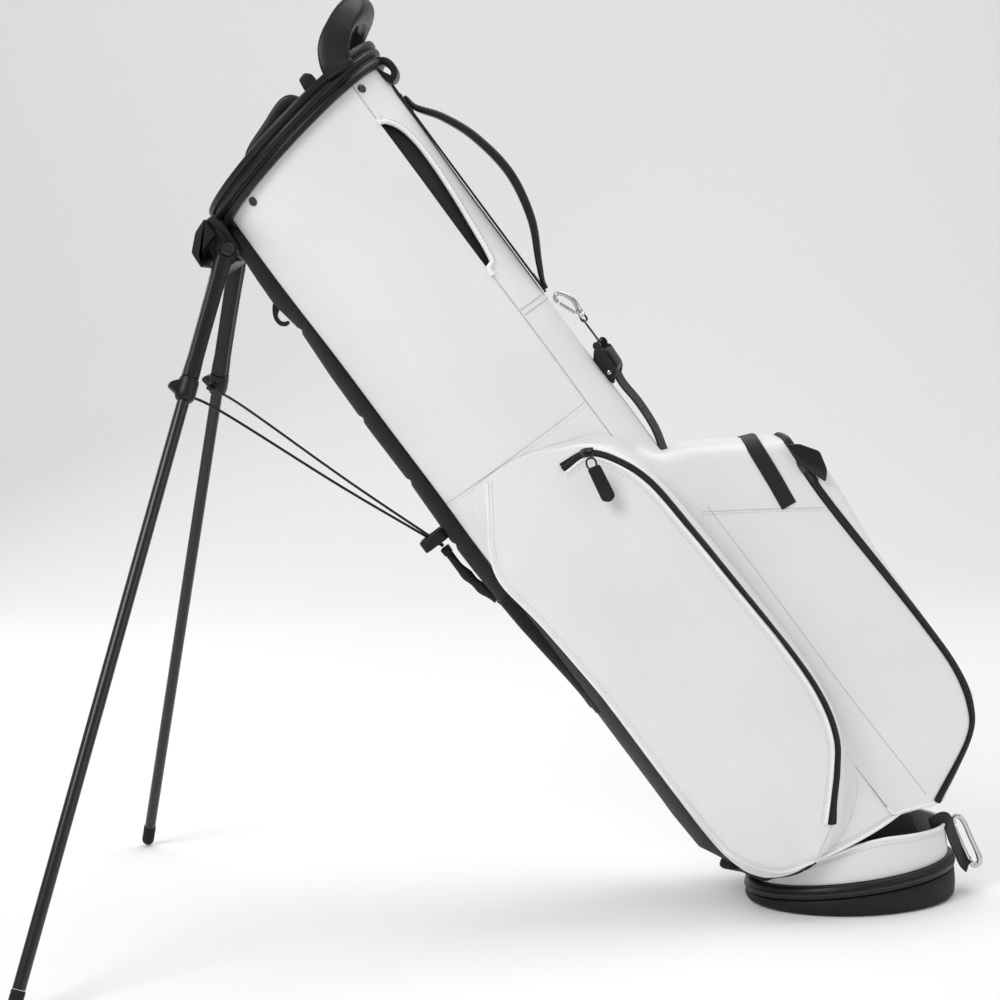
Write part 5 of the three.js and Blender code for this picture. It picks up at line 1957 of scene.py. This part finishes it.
class BAG_OT_handle(bpy.types.Operator):
    """Sews the carry handle onto its strip"""

    bl_idname = "stand_bag.handle"
    bl_label = "Carry handle"

    def execute(self, context):
        build_carry_handle()
        return {"FINISHED"}


class BAG_OT_spine(bpy.types.Operator):
    """Pads the spine and fits its keeper and hook"""

    bl_idname = "stand_bag.spine"
    bl_label = "Spine"

    def execute(self, context):
        build_spine()
        return {"FINISHED"}


class BAG_OT_legs(bpy.types.Operator):
    """Builds the legs, their bracket, the wires and the push rod"""

    bl_idname = "stand_bag.legs"
    bl_label = "Legs and linkage"

    def execute(self, context):
        build_bracket()
        for name, side in SIDES.items():
            build_leg(name, side)
        build_linkage()
        return {"FINISHED"}


class BAG_OT_hardware(bpy.types.Operator):
    """Fits the strap, its buckle, ring and snap hook"""

    bl_idname = "stand_bag.hardware"
    bl_label = "Strap hardware"

    def execute(self, context):
        build_strap_hardware()
        return {"FINISHED"}


class BAG_OT_base(bpy.types.Operator):
    """Builds the tilting base, its sleeve and the tether clip"""

    bl_idname = "stand_bag.base"
    bl_label = "Base"

    def execute(self, context):
        build_base()
        build_gusset()
        build_tether()
        return {"FINISHED"}


OPERATORS = (
    BAG_OT_stage, BAG_OT_shell, BAG_OT_top, BAG_OT_handle, BAG_OT_spine, BAG_OT_legs, BAG_OT_hardware,
    BAG_OT_base,
)


class BAG_PT_panel(bpy.types.Panel):
    """Lists the bag's groups of pieces"""

    bl_label = "Stand bag"
    bl_idname = "BAG_PT_panel"
    bl_space_type = "VIEW_3D"
    bl_region_type = "UI"
    bl_category = "Stand bag"

    def draw(self, context):
        for group in (context.scene.stand_bag_sizes, context.scene.stand_bag_colours):
            for name in group.__annotations__:
                self.layout.prop(group, name)
        for operator in OPERATORS:
            self.layout.operator(operator.bl_idname)


CLASSES = (StandBagSizes, StandBagColours, *OPERATORS, BAG_PT_panel)


def register():
    for item in CLASSES:
        bpy.utils.register_class(item)
    bpy.types.Scene.stand_bag_sizes = PointerProperty(type=StandBagSizes)
    bpy.types.Scene.stand_bag_colours = PointerProperty(type=StandBagColours)


def unregister():
    del bpy.types.Scene.stand_bag_colours
    del bpy.types.Scene.stand_bag_sizes
    for item in reversed(CLASSES):
        bpy.utils.unregister_class(item)


def main():
    register()
    bpy.ops.stand_bag.stage()
    bpy.ops.stand_bag.shell()
    bpy.ops.stand_bag.top()
    bpy.ops.stand_bag.handle()
    bpy.ops.stand_bag.spine()
    bpy.ops.stand_bag.legs()
    bpy.ops.stand_bag.hardware()
    bpy.ops.stand_bag.base()


if __name__ == "__main__":
    main()
